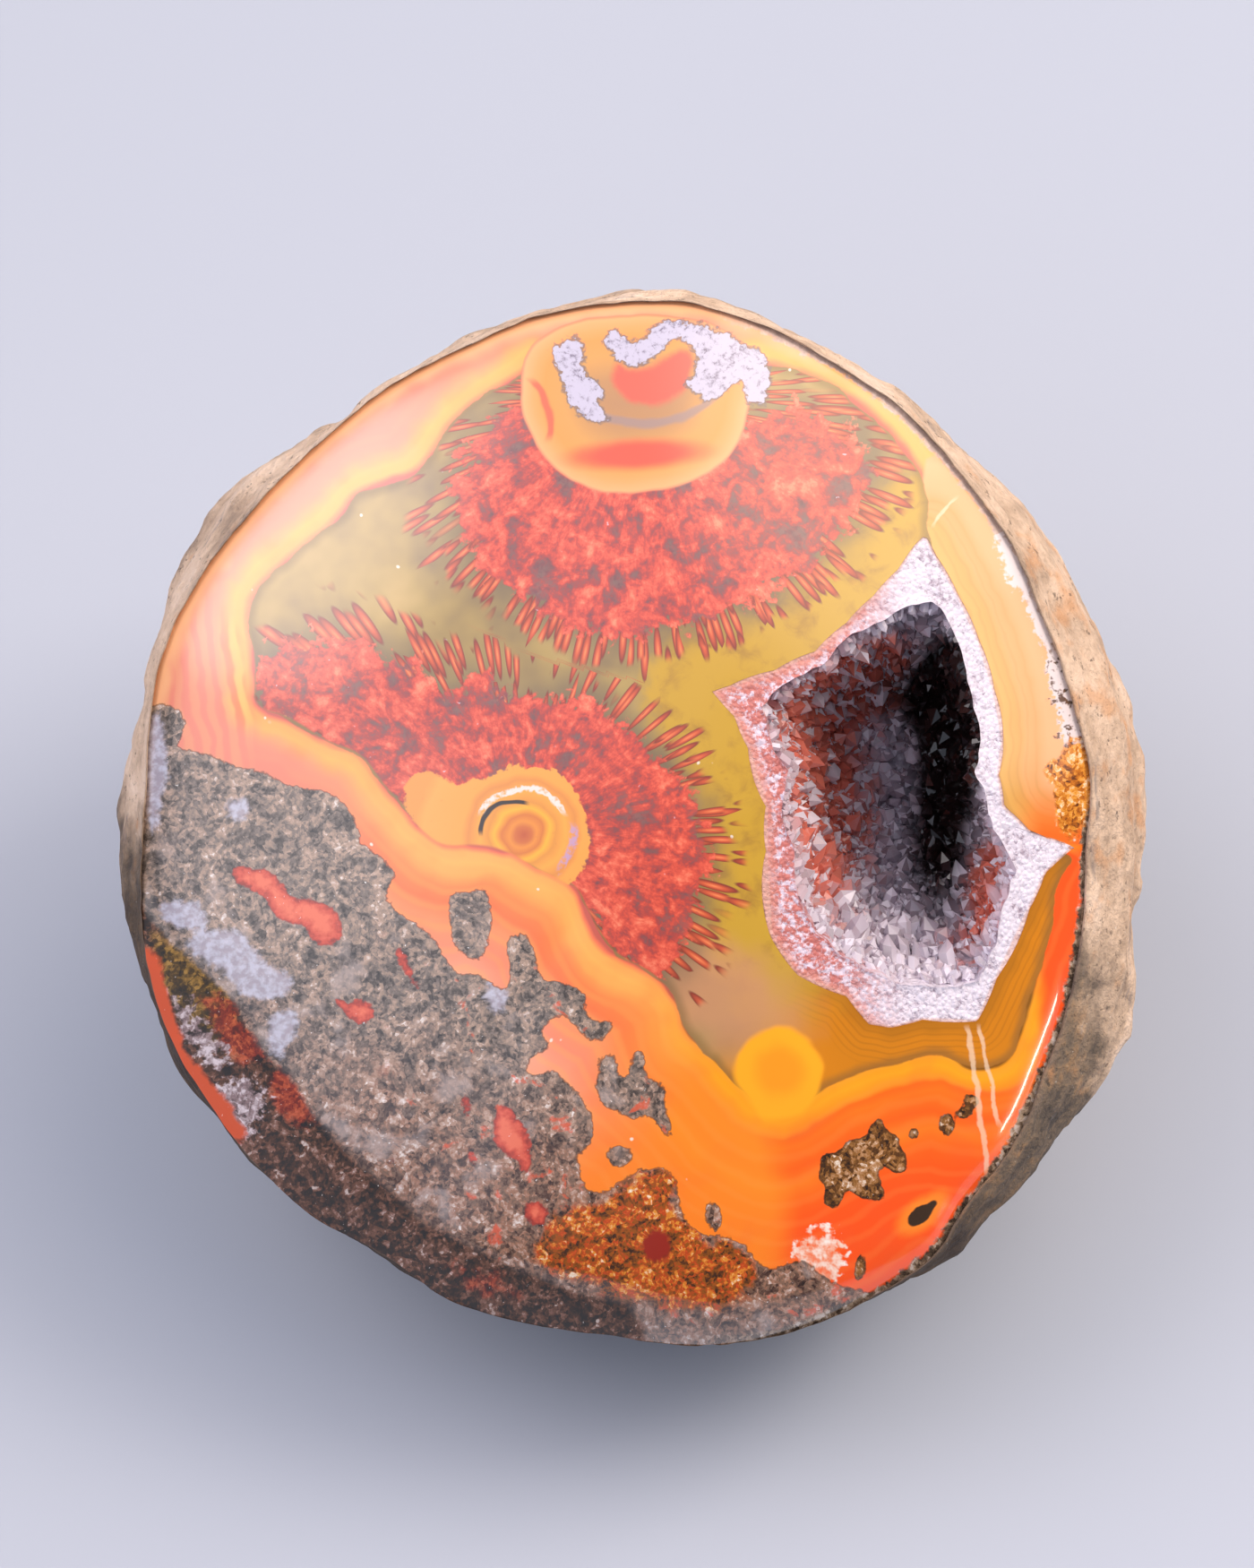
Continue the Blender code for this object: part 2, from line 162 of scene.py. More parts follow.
# Clear agate inside the orange ribbon, clockwise from the upper left
CLEAR_AGATE = (
    (600, 405), (700, 395), (850, 405), (900, 415), (935, 433), (962, 458), (990, 480),
    (1010, 505), (1030, 530), (1036, 560), (1034, 597), (1060, 700), (1060, 800),
    (1100, 900), (1150, 945), (1205, 955), (1190, 970), (1180, 990), (1178, 1010),
    (1170, 1055), (1160, 1085), (1152, 1110), (1143, 1140), (1137, 1165), (1125, 1183),
    (1105, 1192), (1080, 1190), (1065, 1180), (1045, 1176), (1000, 1187), (950, 1200),
    (905, 1225), (875, 1248), (850, 1240), (825, 1215), (805, 1192), (785, 1172),
    (762, 1150), (759, 1125), (744, 1102), (721, 1082), (690, 1069), (667, 1040),
    (654, 1014), (644, 991), (617, 975), (594, 964), (568, 947), (533, 939),
    (495, 943), (472, 925), (449, 899), (426, 876), (403, 841), (365, 830),
    (323, 801), (281, 790), (285, 760), (281, 715), (275, 685), (288, 655),
    (312, 630), (350, 600), (385, 575), (395, 552), (430, 541), (468, 530),
    (487, 497), (505, 472), (535, 443), (575, 425), (590, 412),
)

# Peach and olive band between the hollow and the rind on the right
RIGHT_BAND = (
    (1036, 500), (1075, 520), (1140, 600), (1180, 690), (1215, 790), (1230, 870),
    (1225, 940), (1200, 946), (1150, 930), (1080, 900), (1060, 800), (1050, 700),
    (1033, 597), (1028, 550),
)

# Dull matrix of the lower left, with its upper edge from the left rim
MATRIX = (
    (130, 800), (165, 790), (185, 785), (205, 800), (207, 815), (195, 835), (225, 840),
    (250, 852), (280, 858), (300, 865), (325, 878), (365, 885), (380, 893), (395, 918),
    (405, 945), (435, 965), (440, 980), (425, 1005), (455, 1025), (485, 1045),
    (497, 1072), (512, 1090), (530, 1085), (548, 1098), (566, 1110), (572, 1085),
    (565, 1055), (575, 1042), (592, 1045), (602, 1095), (640, 1100), (655, 1110),
    (650, 1130), (665, 1140), (685, 1138), (680, 1155), (662, 1164), (645, 1150),
    (628, 1128), (600, 1150), (620, 1170), (590, 1180), (588, 1200), (600, 1200),
    (615, 1193), (635, 1210), (650, 1228), (665, 1258), (655, 1285), (640, 1290),
    (648, 1315), (665, 1335), (690, 1322), (720, 1300), (750, 1308), (762, 1355),
    (775, 1375), (830, 1385), (845, 1412), (870, 1415), (900, 1405), (925, 1432),
    (990, 1450), (900, 1520), (700, 1540), (480, 1500), (320, 1410), (190, 1270),
    (120, 1120),
)
MATRIX_ISLANDS = (
    ((503, 1010), (505, 997), (522, 1000), (535, 990), (545, 995), (550, 1030),
     (540, 1070), (530, 1075), (507, 1055)),
    ((665, 1215), (668, 1195), (672, 1180), (685, 1178), (690, 1190), (688, 1200),
     (700, 1205), (705, 1185), (712, 1172), (720, 1175), (718, 1198), (738, 1210),
     (745, 1220), (742, 1235), (752, 1265), (745, 1270), (735, 1255), (725, 1243),
     (705, 1248), (690, 1240), (675, 1235)),
    ((678, 1285), (690, 1278), (706, 1286), (702, 1300), (684, 1300)),
    ((787, 1350), (796, 1341), (806, 1352), (803, 1372), (792, 1376)),
)

# Dark golden crystals in the lower right, and small hollows like them
DARK_CRYSTALS = (
    ((915, 1300), (918, 1288), (938, 1285), (945, 1272), (965, 1270), (975, 1250),
     (985, 1248), (990, 1262), (1003, 1268), (1005, 1280), (1012, 1290), (1013, 1305),
     (1003, 1312), (985, 1300), (980, 1310), (990, 1335), (980, 1342), (955, 1335),
     (945, 1325), (938, 1345), (928, 1350), (918, 1340), (922, 1325), (913, 1315)),
    ((955, 1405), (962, 1398), (968, 1405), (964, 1432), (953, 1428)),
    ((880, 1410), (892, 1404), (902, 1412), (898, 1426), (884, 1424)),
)

# Red blobs inside the matrix
RED_BLOBS = (
    ((258, 972), (270, 967), (285, 973), (305, 973), (318, 985), (325, 1000),
     (345, 1000), (365, 1008), (380, 1022), (382, 1038), (375, 1052), (360, 1058),
     (350, 1055), (345, 1040), (335, 1030), (315, 1028), (303, 1015), (295, 1000),
     (280, 993), (265, 988)),
    ((370, 1118), (380, 1110), (388, 1122), (400, 1117), (415, 1120), (420, 1132),
     (410, 1143), (395, 1140), (385, 1128)),
    ((438, 1060), (446, 1056), (460, 1078), (472, 1100), (464, 1104), (448, 1082)),
    ((550, 1240), (565, 1232), (575, 1245), (590, 1262), (595, 1285), (595, 1305),
     (585, 1310), (575, 1295), (560, 1290), (550, 1270)),
    ((514, 1222), (522, 1220), (527, 1245), (519, 1247)),
    ((520, 1277), (528, 1275), (532, 1300), (524, 1302)),
    ((585, 1345), (600, 1338), (612, 1350), (606, 1370), (590, 1368)),
)
LAVENDER_PATCHES = (
    ((205, 1050), (225, 1040), (250, 1038), (275, 1045), (290, 1065), (305, 1080),
     (320, 1085), (323, 1100), (310, 1115), (285, 1118), (255, 1090), (225, 1070)),
    ((300, 1140), (320, 1125), (335, 1135), (325, 1160), (315, 1185), (300, 1170)),
    ((170, 1005), (190, 1000), (232, 1015), (225, 1035), (190, 1035)),
    ((252, 897), (270, 893), (278, 912), (258, 920)),
    ((545, 1092), (556, 1090), (566, 1118), (556, 1135), (546, 1120)),
    # Along the left rim: partly lavender agate and partly a painted bluish sheen where the rounded
    # shoulder mirrors the light
    ((165, 800), (180, 795), (186, 850), (178, 930), (165, 930)),
)
GOLD_MOSS = (
    (600, 1380), (640, 1345), (670, 1345), (690, 1322), (700, 1310), (720, 1300),
    (745, 1305), (755, 1320), (755, 1340), (760, 1355), (775, 1365), (790, 1385),
    (810, 1380), (835, 1400), (850, 1430), (820, 1460), (760, 1465), (690, 1450),
    (640, 1430), (605, 1410),
)

# Eyes: rings of agate seen end on, one at the top and one left of the middle
TOP_EYE = (
    (585, 395), (580, 440), (583, 460), (590, 480), (600, 500), (615, 520), (635, 535),
    (660, 547), (690, 552), (715, 550), (740, 547), (770, 540), (795, 527), (815, 510),
    (827, 490), (833, 470), (838, 450), (850, 415), (830, 375), (760, 350), (660, 352),
    (610, 370),
)
MIDDLE_EYE = (
    (450, 880), (455, 868), (475, 862), (495, 867), (515, 875), (535, 872), (555, 862),
    (575, 855), (600, 855), (620, 862), (640, 875), (650, 890), (655, 910), (658, 935),
    (655, 960), (645, 978), (632, 990), (600, 985), (540, 960), (490, 955), (462, 925),
)
WHITE_CRUSTS = (
    ((615, 387), (650, 375), (648, 405), (655, 420), (668, 425), (675, 440),
     (668, 450), (682, 468), (670, 472), (655, 465), (640, 455), (632, 440),
     (628, 420), (618, 405)),
    ((675, 380), (680, 368), (690, 367), (695, 378), (710, 383), (725, 378),
     (730, 365), (745, 358), (765, 358), (795, 370), (815, 373), (830, 385),
     (850, 393), (858, 405), (860, 420), (855, 435), (857, 450), (850, 455),
     (845, 445), (835, 455), (832, 440), (830, 420), (815, 432), (800, 445),
     (790, 447), (765, 430), (775, 415), (780, 400), (775, 390), (765, 380),
     (750, 378), (740, 388), (730, 398), (715, 407), (700, 408), (688, 400)),
)
SALMON_KIDNEY = (
    (690, 402), (700, 414), (725, 412), (745, 397), (765, 388), (775, 400), (772, 420),
    (760, 440), (740, 450), (715, 452), (700, 448), (690, 435), (682, 420),
)

# Red moss round the two eyes
TOP_PLUME = (
    (545, 470), (515, 520), (505, 560), (515, 600), (545, 640), (600, 680),
    (650, 710), (700, 715), (745, 700), (790, 690), (840, 670), (890, 640), (935, 600),
    (965, 555), (975, 520), (950, 480), (905, 460), (870, 452), (840, 470), (800, 500),
    (700, 500), (610, 470), (580, 455),
)
MIDDLE_PLUME = (
    (285, 738), (300, 722), (340, 715), (370, 712), (400, 722), (450, 735), (480, 760),
    (510, 770), (535, 755), (560, 775), (600, 780), (640, 775), (690, 805), (730, 840),
    (765, 880), (785, 930), (785, 980), (770, 1030), (755, 1075), (735, 1095),
    (690, 1069), (654, 1014), (600, 960), (480, 935), (426, 876), (365, 830),
    (300, 800), (281, 790),
)

# Dark lip between the shoulder and the rim at the lower left
LIP = (
    (150, 1000), (165, 1020), (183, 1045), (210, 1070), (240, 1095), (262, 1120),
    (278, 1145), (290, 1175), (315, 1195), (335, 1215), (345, 1240), (370, 1270),
    (400, 1300), (430, 1325), (455, 1345), (480, 1370), (560, 1408), (640, 1440),
    (720, 1460), (720, 1540), (480, 1500), (320, 1410), (190, 1270), (110, 1100),
)

# Outlines of the pattern by name, after how many times their corners are rounded
OUTLINES = {
    "rim": (2, FACE_RIM),
    "clear": (2, CLEAR_AGATE),
    "band": (1, RIGHT_BAND),
    "matrix": (1, MATRIX, *MATRIX_ISLANDS),
    "crystals": (1, *DARK_CRYSTALS),
    "blobs": (1, *RED_BLOBS),
    "lavender": (1, *LAVENDER_PATCHES),
    "gold": (1, GOLD_MOSS),
    "top_eye": (2, TOP_EYE),
    "middle_eye": (2, MIDDLE_EYE),
    "white": (1, *WHITE_CRUSTS),
    "kidney": (1, SALMON_KIDNEY),
    "top_plume": (1, TOP_PLUME),
    "middle_plume": (1, MIDDLE_PLUME),
    "lip": (1, LIP),
}

# Ellipses of the pattern: a picture point, two radii in millimetres and a turn in degrees
ELLIPSES = {
    "specks": (((1057, 1255), (0.75, 1.0), 0.0), ((1077, 1241), (0.8, 0.55), 30.0),
               ((1084, 1229), (0.8, 0.6), -25.0), ((1020, 1265), (0.5, 0.5), 0.0)),
    "hole": (((1027, 1356), (1.35, 0.75), 38.0), ((1038, 1347), (0.8, 0.4), 40.0)),
    "broken": (((912, 1412), (2.2, 3.2), -15.0),),
    "lobe": (((870, 1197), (3.9, 4.1), 0.0),),
    "amber": (((800, 1110), (8.0, 4.6), -25.0),),
    "fan": (((228, 790), (4.2, 10.5), 8.0),),
    "lens": (((712, 507), (6.0, 1.3), 3.0),),
    "dot": (((733, 1390), (1.3, 1.5), 0.0),),
    "lip_gold": (((225, 1110), (6.0, 3.0), -50.0),),
    "lip_red": (((262, 1150), (3.2, 1.6), -50.0), ((326, 1222), (2.4, 1.7), -60.0),
                ((545, 1432), (2.4, 1.0), -10.0)),
    "lip_pale": (((262, 1238), (2.6, 3.2), -50.0), ((222, 1155), (3.6, 1.1), -55.0)),
    "honey": (((1198, 878), (1.7, 4.6), -4.0), ((1180, 862), (1.2, 1.2), 0.0)),
}

# Straight strokes of the pattern: the picture points of two ends and a width in millimetres
STROKES = {
    "strip": (((160, 1070), (196, 1180), 2.2), ((196, 1180), (262, 1262), 2.2)),
    "crack": (((1078, 1145), (1106, 1312), 1.0), ((1097, 1145), (1120, 1256), 1.0),
              ((1040, 592), (1072, 553), 0.5)),
    "druse": (((1118, 600), (1172, 720), 1.3), ((1180, 738), (1200, 825), 2.2)),
}

SHOULDER_TABLE = [(math.radians(angle), inset) for angle, inset in SHOULDER]


def to_world(u, v, w):
    """Places of points of the face's own frame, from its middle: u, v and w along its axes."""
    u, v, w = (np.asarray(length)[..., None] for length in (u, v, w))
    return FACE_POINT + u * RIGHT + v * UP_FACE + w * OUT_OF_FACE


def at_level(pixels, w):
    """The u and v at which picture points meet the plane at level w."""
    pixels = np.asarray(pixels, float)
    scale = FACE_WIDTH / FACE_WIDTH_PIXELS * (1.0 - w / VIEW_DISTANCE)
    u = (pixels[..., 0] - PICTURE_MIDDLE[0]) * scale
    v = (PICTURE_MIDDLE[1] - pixels[..., 1]) * scale
    return u, v


def pattern_place(pixels):
    """Picture points as places in the pattern, in millimetres from the picture's middle."""
    away = np.asarray(pixels, float) - PICTURE_MIDDLE
    return away / (PIXELS_PER_MM, -PIXELS_PER_MM)


def between(angle, table):
    """Values at angles of a table of (angle, value) rows, straight between the rows."""
    angles, values = np.array(table).T
    return np.interp(angle, angles, values, period=math.tau)


def rounded(table, steps=1440):
    """A table with a smooth closed curve through the rows of another.

    Each stretch is a cubic whose slope at a row is that of the line between the rows
    before and after it.
    """
    angles, values = np.array(table).T
    angles = np.concatenate((angles[-2:] - math.tau, angles, angles[:2] + math.tau))
    values = np.concatenate((values[-2:], values, values[:2]))
    slopes = np.gradient(values, angles)
    slopes[1:-1] = (values[2:] - values[:-2]) / (angles[2:] - angles[:-2])
    turned = np.linspace(0.0, math.tau, steps, endpoint=False)
    row = np.searchsorted(angles, turned, side="right") - 1
    span = angles[row + 1] - angles[row]
    t = (turned - angles[row]) / span
    value = (
        (2 * t**3 - 3 * t**2 + 1) * values[row] + (t**3 - 2 * t**2 + t) * span * slopes[row]
        + (3 * t**2 - 2 * t**3) * values[row + 1] + (t**3 - t**2) * span * slopes[row + 1]
    )
    return np.stack((turned, value), axis=1)


def rim_level(angle):
    """w of the polished rim, lower where the ground slope falls to it."""
    return RIM_LEVEL - SHOULDER_SLOPE * between(angle, SHOULDER_TABLE)


def low_front(angle):
    """1 at the stone's low front, 0 at its sides and top."""
    return np.maximum(0.0, -np.sin(angle)) ** 1.5


def mixed(pair, angle):
    """A value that goes from its first at the top to its second at the low front."""
    return pair[0] + (pair[1] - pair[0]) * low_front(angle)


def waist_level(angle):
    """w of the stone's widest place."""
    return rim_level(angle) - mixed(WAIST_DROP, angle)


def bearing(middle, u, v):
    """The angle and the distance of places from a middle."""
    u, v = u - middle[0], v - middle[1]
    return np.arctan2(v, u), np.hypot(u, v)


def swung(middle, radius, angle):
    """The u and v of places at a distance and an angle from a middle."""
    return middle[0] + radius * np.cos(angle), middle[1] + radius * np.sin(angle)


def unit(vectors):
    """Vectors with a length of 1."""
    return vectors / np.linalg.norm(vectors, axis=-1, keepdims=True)


def polar_rows(middle, u, v):
    """Sorted rows of the angle and distance of places from a middle."""
    angle, radius = bearing(middle, u, v)
    rows = np.stack((angle % math.tau, radius), axis=1)
    return rows[np.argsort(rows[:, 0])]


def outline_rows(outline, level):
    """An outline of picture points, at its level, as smooth rows about the face's middle."""
    pixels = np.array(outline, float)
    w = level(np.arctan2(FACE_MIDDLE[1] - pixels[:, 1], pixels[:, 0] - FACE_MIDDLE[0]))
    return rounded(polar_rows(at_level(FACE_MIDDLE, w), *at_level(pixels, w)))


RIM = outline_rows(FACE_RIM, rim_level)
OUTLINE = outline_rows(STONE_OUTLINE, waist_level)
MIDDLE = at_level(FACE_MIDDLE, 0.0)


def face_level(u, v):
    """w of the polished face: a dome whose lower left falls away past a shoulder.

    The dome falls with the square of the distance from its middle. Past the shoulder a
    straight slope is taken off, with the soft corner of a logarithm of 1 plus e^x.
    """
    angle, radius = bearing(MIDDLE, u, v)
    rim_radius = between(angle, RIM)
    past = (radius - (rim_radius - between(angle, SHOULDER_TABLE))) / SHOULDER_ROUNDING
    fall = SHOULDER_ROUNDING * np.logaddexp(0.0, past)
    return RIM_LEVEL + DOME_HEIGHT * (1.0 - (radius / rim_radius) ** 2) - SHOULDER_SLOPE * fall


def on_face(pixels):
    """The u, v and w at which picture points meet the polished face."""
    w = 0.0
    for _ in range(4):
        u, v = at_level(pixels, w)
        w = face_level(u, v)
    return u, v, w


HOLLOW = on_face(np.array(HOLLOW_MIDDLE))
HOLLOW_RIM = polar_rows(HOLLOW, *on_face(HOLLOW_MOUTH)[:2])
CRUST_RIM = polar_rows(HOLLOW, *on_face(CRUST_MOUTH)[:2])
HOLLOW_HEART = np.array((HOLLOW[0] + CRUST_LEAN[0] / 2, HOLLOW[1] + CRUST_LEAN[1] / 2,
                         HOLLOW[2] - HOLLOW_DEPTH / 3.0))


def wall_point(angle, down, mouth, mean, depth, lean, rounding):
    """The u, v and w of a hollow's wall, down from 0 at the mouth to 1 at its floor.

    The wall is steep at first and rounds in to the floor. The points of the mouth's
    outline soften towards its mean radius on the way, and the floor leans under the
    face.
    """
    turn = down * math.pi / 2.0
    sunk = np.sin(turn)
    radius = (mouth + (mean - mouth) * MOUTH_SOFTENING * sunk) * np.cos(turn) ** rounding
    u, v = swung(HOLLOW, radius, angle)
    edge_w = face_level(*swung(HOLLOW, mouth, angle))
    return u + lean[0] * sunk, v + lean[1] * sunk, edge_w + (HOLLOW[2] - depth - edge_w) * sunk


def hollow_wall(angle, down, clearance=0.0):
    """The hollow in the stone, or the crust's back, which is clear of it."""
    mouth = between(angle, HOLLOW_RIM) - clearance
    return wall_point(angle, down, mouth, HOLLOW_RIM[:, 1].mean(), HOLLOW_DEPTH - clearance,
                      HOLLOW_LEAN, HOLLOW_ROUNDING)


def crust_wall(angle, down, mouth=None):
    """The crust's inner wall, without its crystals."""
    mouth = between(angle, CRUST_RIM) if mouth is None else mouth
    return wall_point(angle, down, mouth, CRUST_RIM[:, 1].mean(), HOLLOW_DEPTH - CRUST_FLOOR,
                      CRUST_LEAN, CRUST_ROUNDING)


def lumps(points, size, seed):
    """Smooth noise from -1 to 1: random values at a grid's corners, with eased weights."""
    scaled = points / size
    cell = np.floor(scaled).astype(np.int64)
    part = scaled - cell
    ease = part * part * (3.0 - 2.0 * part)
    total = np.zeros(points.shape[:-1])
    for corner in itertools.product((0, 1), repeat=3):
        at = cell + corner
        key = at[..., 0] * 73856093 ^ at[..., 1] * 19349663 ^ at[..., 2] * 83492791 ^ seed * 7919
        key = (key ^ (key >> 13)) * 1274126177
        value = ((key ^ (key >> 16)) & 0xFFFF) / 32767.5 - 1.0
        total += value * np.prod(np.where(corner, ease, 1.0 - ease), axis=-1)
    return total


def rough(points, sizes, seed, share=1.0):
    """Lumps of two sizes, with a share of the second's height."""
    return lumps(points, sizes[0], seed) + share * lumps(points, sizes[1], seed + 1)


def cubic_weights(places, count, closed):
    """Weights that read values between the rows of a list, on a smooth curve through them."""
    row = np.floor(places).astype(int)
    t = places - row
    weights = np.zeros((len(places), count))
    shares = (
        (-t + 2 * t**2 - t**3) / 2, (2 - 5 * t**2 + 3 * t**3) / 2,
        (t + 4 * t**2 - 3 * t**3) / 2, (t**3 - t**2) / 2,
    )
    for step, share in zip(range(-1, 3), shares):
        at = (row + step) % count if closed else np.clip(row + step, 0, count - 1)
        np.add.at(weights, (np.arange(len(places)), at), share)
    return weights


def skin_point(ring, angle):
    """The u, v and w of the stone's skin without its lumps, from the rim to the back.

    From the rim to the waist the radius grows with the sine of the way. Behind the waist
    it shrinks with a power of the cosine, while w falls with the sine.
    """
    rim_radius = between(angle, RIM)
    waist_radius = between(angle, OUTLINE) - UNDERCUT * low_front(angle)
    rim_w, waist_w = rim_level(angle), waist_level(angle)
    upper = np.clip((ring - RIM_RING) / (WAIST_RING - RIM_RING), 0.0, 1.0)
    turn = np.clip((ring - WAIST_RING) / (SOLID_RINGS - WAIST_RING), 0.0, 1.0) * math.pi / 2.0
    above = rim_radius + (waist_radius - rim_radius) * np.sin(upper * math.pi / 2.0)
    below = waist_radius * np.cos(turn) ** mixed(BACK_ROUNDING, angle)
    radius = np.where(ring <= WAIST_RING, above, below)
    w = np.where(ring <= WAIST_RING, rim_w + (waist_w - rim_w) * upper,
                 waist_w + (BACK_LEVEL - waist_w) * np.sin(turn))
    u, v = swung(MIDDLE, radius, angle)
    from_swelling = (u**2 + (v - SWELLING_V) ** 2) / SWELLING_RADIUS**2
    return u, v, w - SWELLING * np.sin(turn) * np.exp(-from_swelling / 2.0)


def solid_rise(rings, angles):
    """How far the solid's own lumps and ledges stand out, read between its mesh points."""
    own_rings = np.arange(RIM_RING, SOLID_RINGS + 1)
    own_angles = np.arange(SOLID_SEGMENTS) / SOLID_SEGMENTS * math.tau
    ring, angle = np.meshgrid(own_rings.astype(float), own_angles, indexing="ij")
    places = np.stack(skin_point(ring, angle), axis=-1)
    full = np.minimum(1.0, (rim_level(angle) - places[..., 2]) / RIND_REACH)

    def sampled(size):
        flat = (places / size).reshape(-1, 3)
        return np.array([noise.noise(point) for point in flat]).reshape(ring.shape)

    lump = sampled(LUMP_SIZE) + 0.5 * sampled(LUMP_SIZE / 2.3)
    bend = 2.0 * sampled(2.0 * LUMP_SIZE)
    ledge = np.sin(math.tau * places[..., 2] / LEDGE_SPACING + bend)
    rise = full * (LUMP_HEIGHT * lump + LEDGE_HEIGHT * ledge)
    by_ring = cubic_weights(rings - RIM_RING, len(own_rings), closed=False)
    by_angle = cubic_weights(angles / math.tau * SOLID_SEGMENTS, SOLID_SEGMENTS, closed=True)
    return by_ring @ rise @ by_angle.T


def even_angles(table, count):
    """Angles about a middle that part a closed outline in equal lengths."""
    angle = np.linspace(0.0, math.tau, 8 * count + 1)
    radius = between(angle, table)
    steps = np.diff(swung((0.0, 0.0), radius, angle))
    along = np.concatenate(([0.0], np.cumsum(np.hypot(*steps))))
    return np.interp(np.arange(count) / count * along[-1], along, angle)


def inside_distance(places, outline):
    """Distance from each place to a closed outline, above 0 inside it.

    Each side gives the distance to its nearest point. A side that a line to the right
    crosses turns inside to outside.
    """
    corners = pattern_place(outline)
    nearest = np.full(len(places), np.inf)
    inside = np.zeros(len(places), bool)
    for start, end in zip(corners, np.roll(corners, -1, axis=0)):
        side = end - start
        away = places - start
        part = np.clip(away @ side / (side @ side), 0.0, 1.0)
        nearest = np.minimum(nearest, np.hypot(*(away - part[:, None] * side).T))
        spans = (start[1] > places[:, 1]) != (end[1] > places[:, 1])
        reach = away[:, 1] * side[0] / (side[1] if side[1] else 1.0)
        inside ^= spans & (away[:, 0] < reach)
    return np.where(inside, nearest, -nearest)


def rounded_outline(outline, passes):
    """An outline whose corners are cut off at a quarter of each side, once or more."""
    points = np.array(outline, float)
    for _ in range(passes):
        after = np.roll(points, -1, axis=0)
        pair = np.stack((0.75 * points + 0.25 * after, 0.25 * points + 0.75 * after), axis=1)
        points = pair.reshape(-1, 2)
    return points


def united(places, outlines, passes):
    """Distance inside the nearest of several outlines, each rounded once or more."""
    return np.max([inside_distance(places, rounded_outline(each, passes)) for each in outlines],
                  axis=0)


def seen_from_camera(points):
    """Where points of the face's own frame show in the pattern, in millimetres."""
    u, v, w = (points[..., axis] for axis in range(3))
    scale = 1000.0 * VIEW_DISTANCE / (VIEW_DISTANCE - w)
    return np.stack((u * scale, v * scale), axis=-1)


def ring_faces(rows, columns):
    """Four-cornered faces between the rings of a grid, whose columns close on themselves."""
    row, column = np.meshgrid(np.arange(rows - 1), np.arange(columns), indexing="ij")
    after = (column + 1) % columns
    quads = (row * columns + column, row * columns + after,
             (row + 1) * columns + after, (row + 1) * columns + column)
    return np.stack(quads, axis=-1).reshape(-1, 4)


def closed_grid(first_pole, grid, last_pole):
    """Points and faces of a grid of rings that a pole closes at each end."""
    rows, columns = grid.shape[:2]
    points = np.concatenate((first_pole[None], grid.reshape(-1, 3), last_pole[None]))
    quads = ring_faces(rows, columns) + 1
    here = np.arange(columns)
    after = (here + 1) % columns
    first = np.stack((np.zeros(columns, int), 1 + after, 1 + here), axis=1)
    base = 1 + (rows - 1) * columns
    last = np.stack((np.full(columns, len(points) - 1), base + here, base + after), axis=1)
    return points, quads, first, last


def turned_out(points, faces):
    """Faces in the order of corners that makes the solid's volume positive."""
    volume = 0.0
    for each in faces:
        a, b, c = (points[each[:, corner]] for corner in (0, 1, 2))
        volume += np.einsum("ij,ij->", a, np.cross(b, c))
        if each.shape[1] == 4:
            volume += np.einsum("ij,ij->", a, np.cross(c, points[each[:, 3]]))
    return [each[:, ::-1] for each in faces] if volume < 0.0 else faces


def removed(collection, name):
    """The name, once nothing in the collection holds it."""
    old = collection.get(name)
    if old:
        collection.remove(old)
    return name


def new_piece(name, points, faces, smooth=True):
    """A mesh object at the origin, with its place in its mesh."""
    mesh = bpy.data.meshes.new(removed(bpy.data.objects, name))
    mesh.from_pydata(points.tolist(), [], [face for each in faces for face in each.tolist()])
    mesh.polygons.foreach_set("use_smooth", np.full(len(mesh.polygons), smooth))
    piece = bpy.data.objects.new(name, mesh)
    bpy.context.scene.collection.objects.link(piece)
    return piece


def note(mesh, name, values):
    """Keep a value for each point of a mesh, for its material to read."""
    kind, field = ("FLOAT", "value") if values.ndim == 1 else ("FLOAT_VECTOR", "vector")
    layer = mesh.attributes.new(name, kind, "POINT")
    layer.data.foreach_set(field, values.astype(np.float32).ravel())


def mark_sharp(mesh, columns, *rows):
    """Sharpen the edges along some rows of a closed grid."""
    chosen = np.zeros(len(mesh.vertices), bool)
    for row in rows:
        chosen[1 + row * columns:1 + (row + 1) * columns] = True
    ends = np.empty(len(mesh.edges) * 2, np.int32)
    mesh.edges.foreach_get("vertices", ends)
    sharp = chosen[ends.reshape(-1, 2)].all(axis=1)
    mesh.attributes.new("sharp_edge", "BOOLEAN", "EDGE").data.foreach_set("value", sharp)


# Sizes of fine relief, in metres, in pairs of a first and a second size of lumps
RIND_GRAIN = (0.0026, 0.0012)
RIM_WEAR = (0.0013, 0.0045)
JAGS = (0.0011, 0.0028)
WALL_LUMPS = (0.0030, 0.0013)
SUGAR_PITS = (0.0007, 0.0016)
PIT_SIZE = 0.0034
PIT_LEVEL = 0.35          # lumps above this level are pits
LAYER_SIZE = 0.0016
LAYER_STRETCH = (0.35, 0.35, 1.6)
LAYER_WAVE = 0.0008

# A crystal's proportions, as parts of its own length or width
ROOT_PART = 0.35          # how much of its length stands behind the wall
SHOULDER_PART = 0.55      # where its sides end
SHOULDER_VARIES = 0.16
TIP_VARIES = 0.22         # how far its tip may be off its axis
FLATTEST = 0.7            # its smaller width over its larger one, at the least
NARROWEST = 0.45          # the smallest large crystal's width over the largest one's
SMALL_WIDTHS = (0.0005, 0.0013)
# Length over width, the part of the wall that they stand on, and how unevenly they lean
LARGE_HABIT = ((0.75, 1.5), (0.06, 0.97), 0.30)
SMALL_HABIT = ((0.7, 1.5), (0.0, 0.85), 0.45)

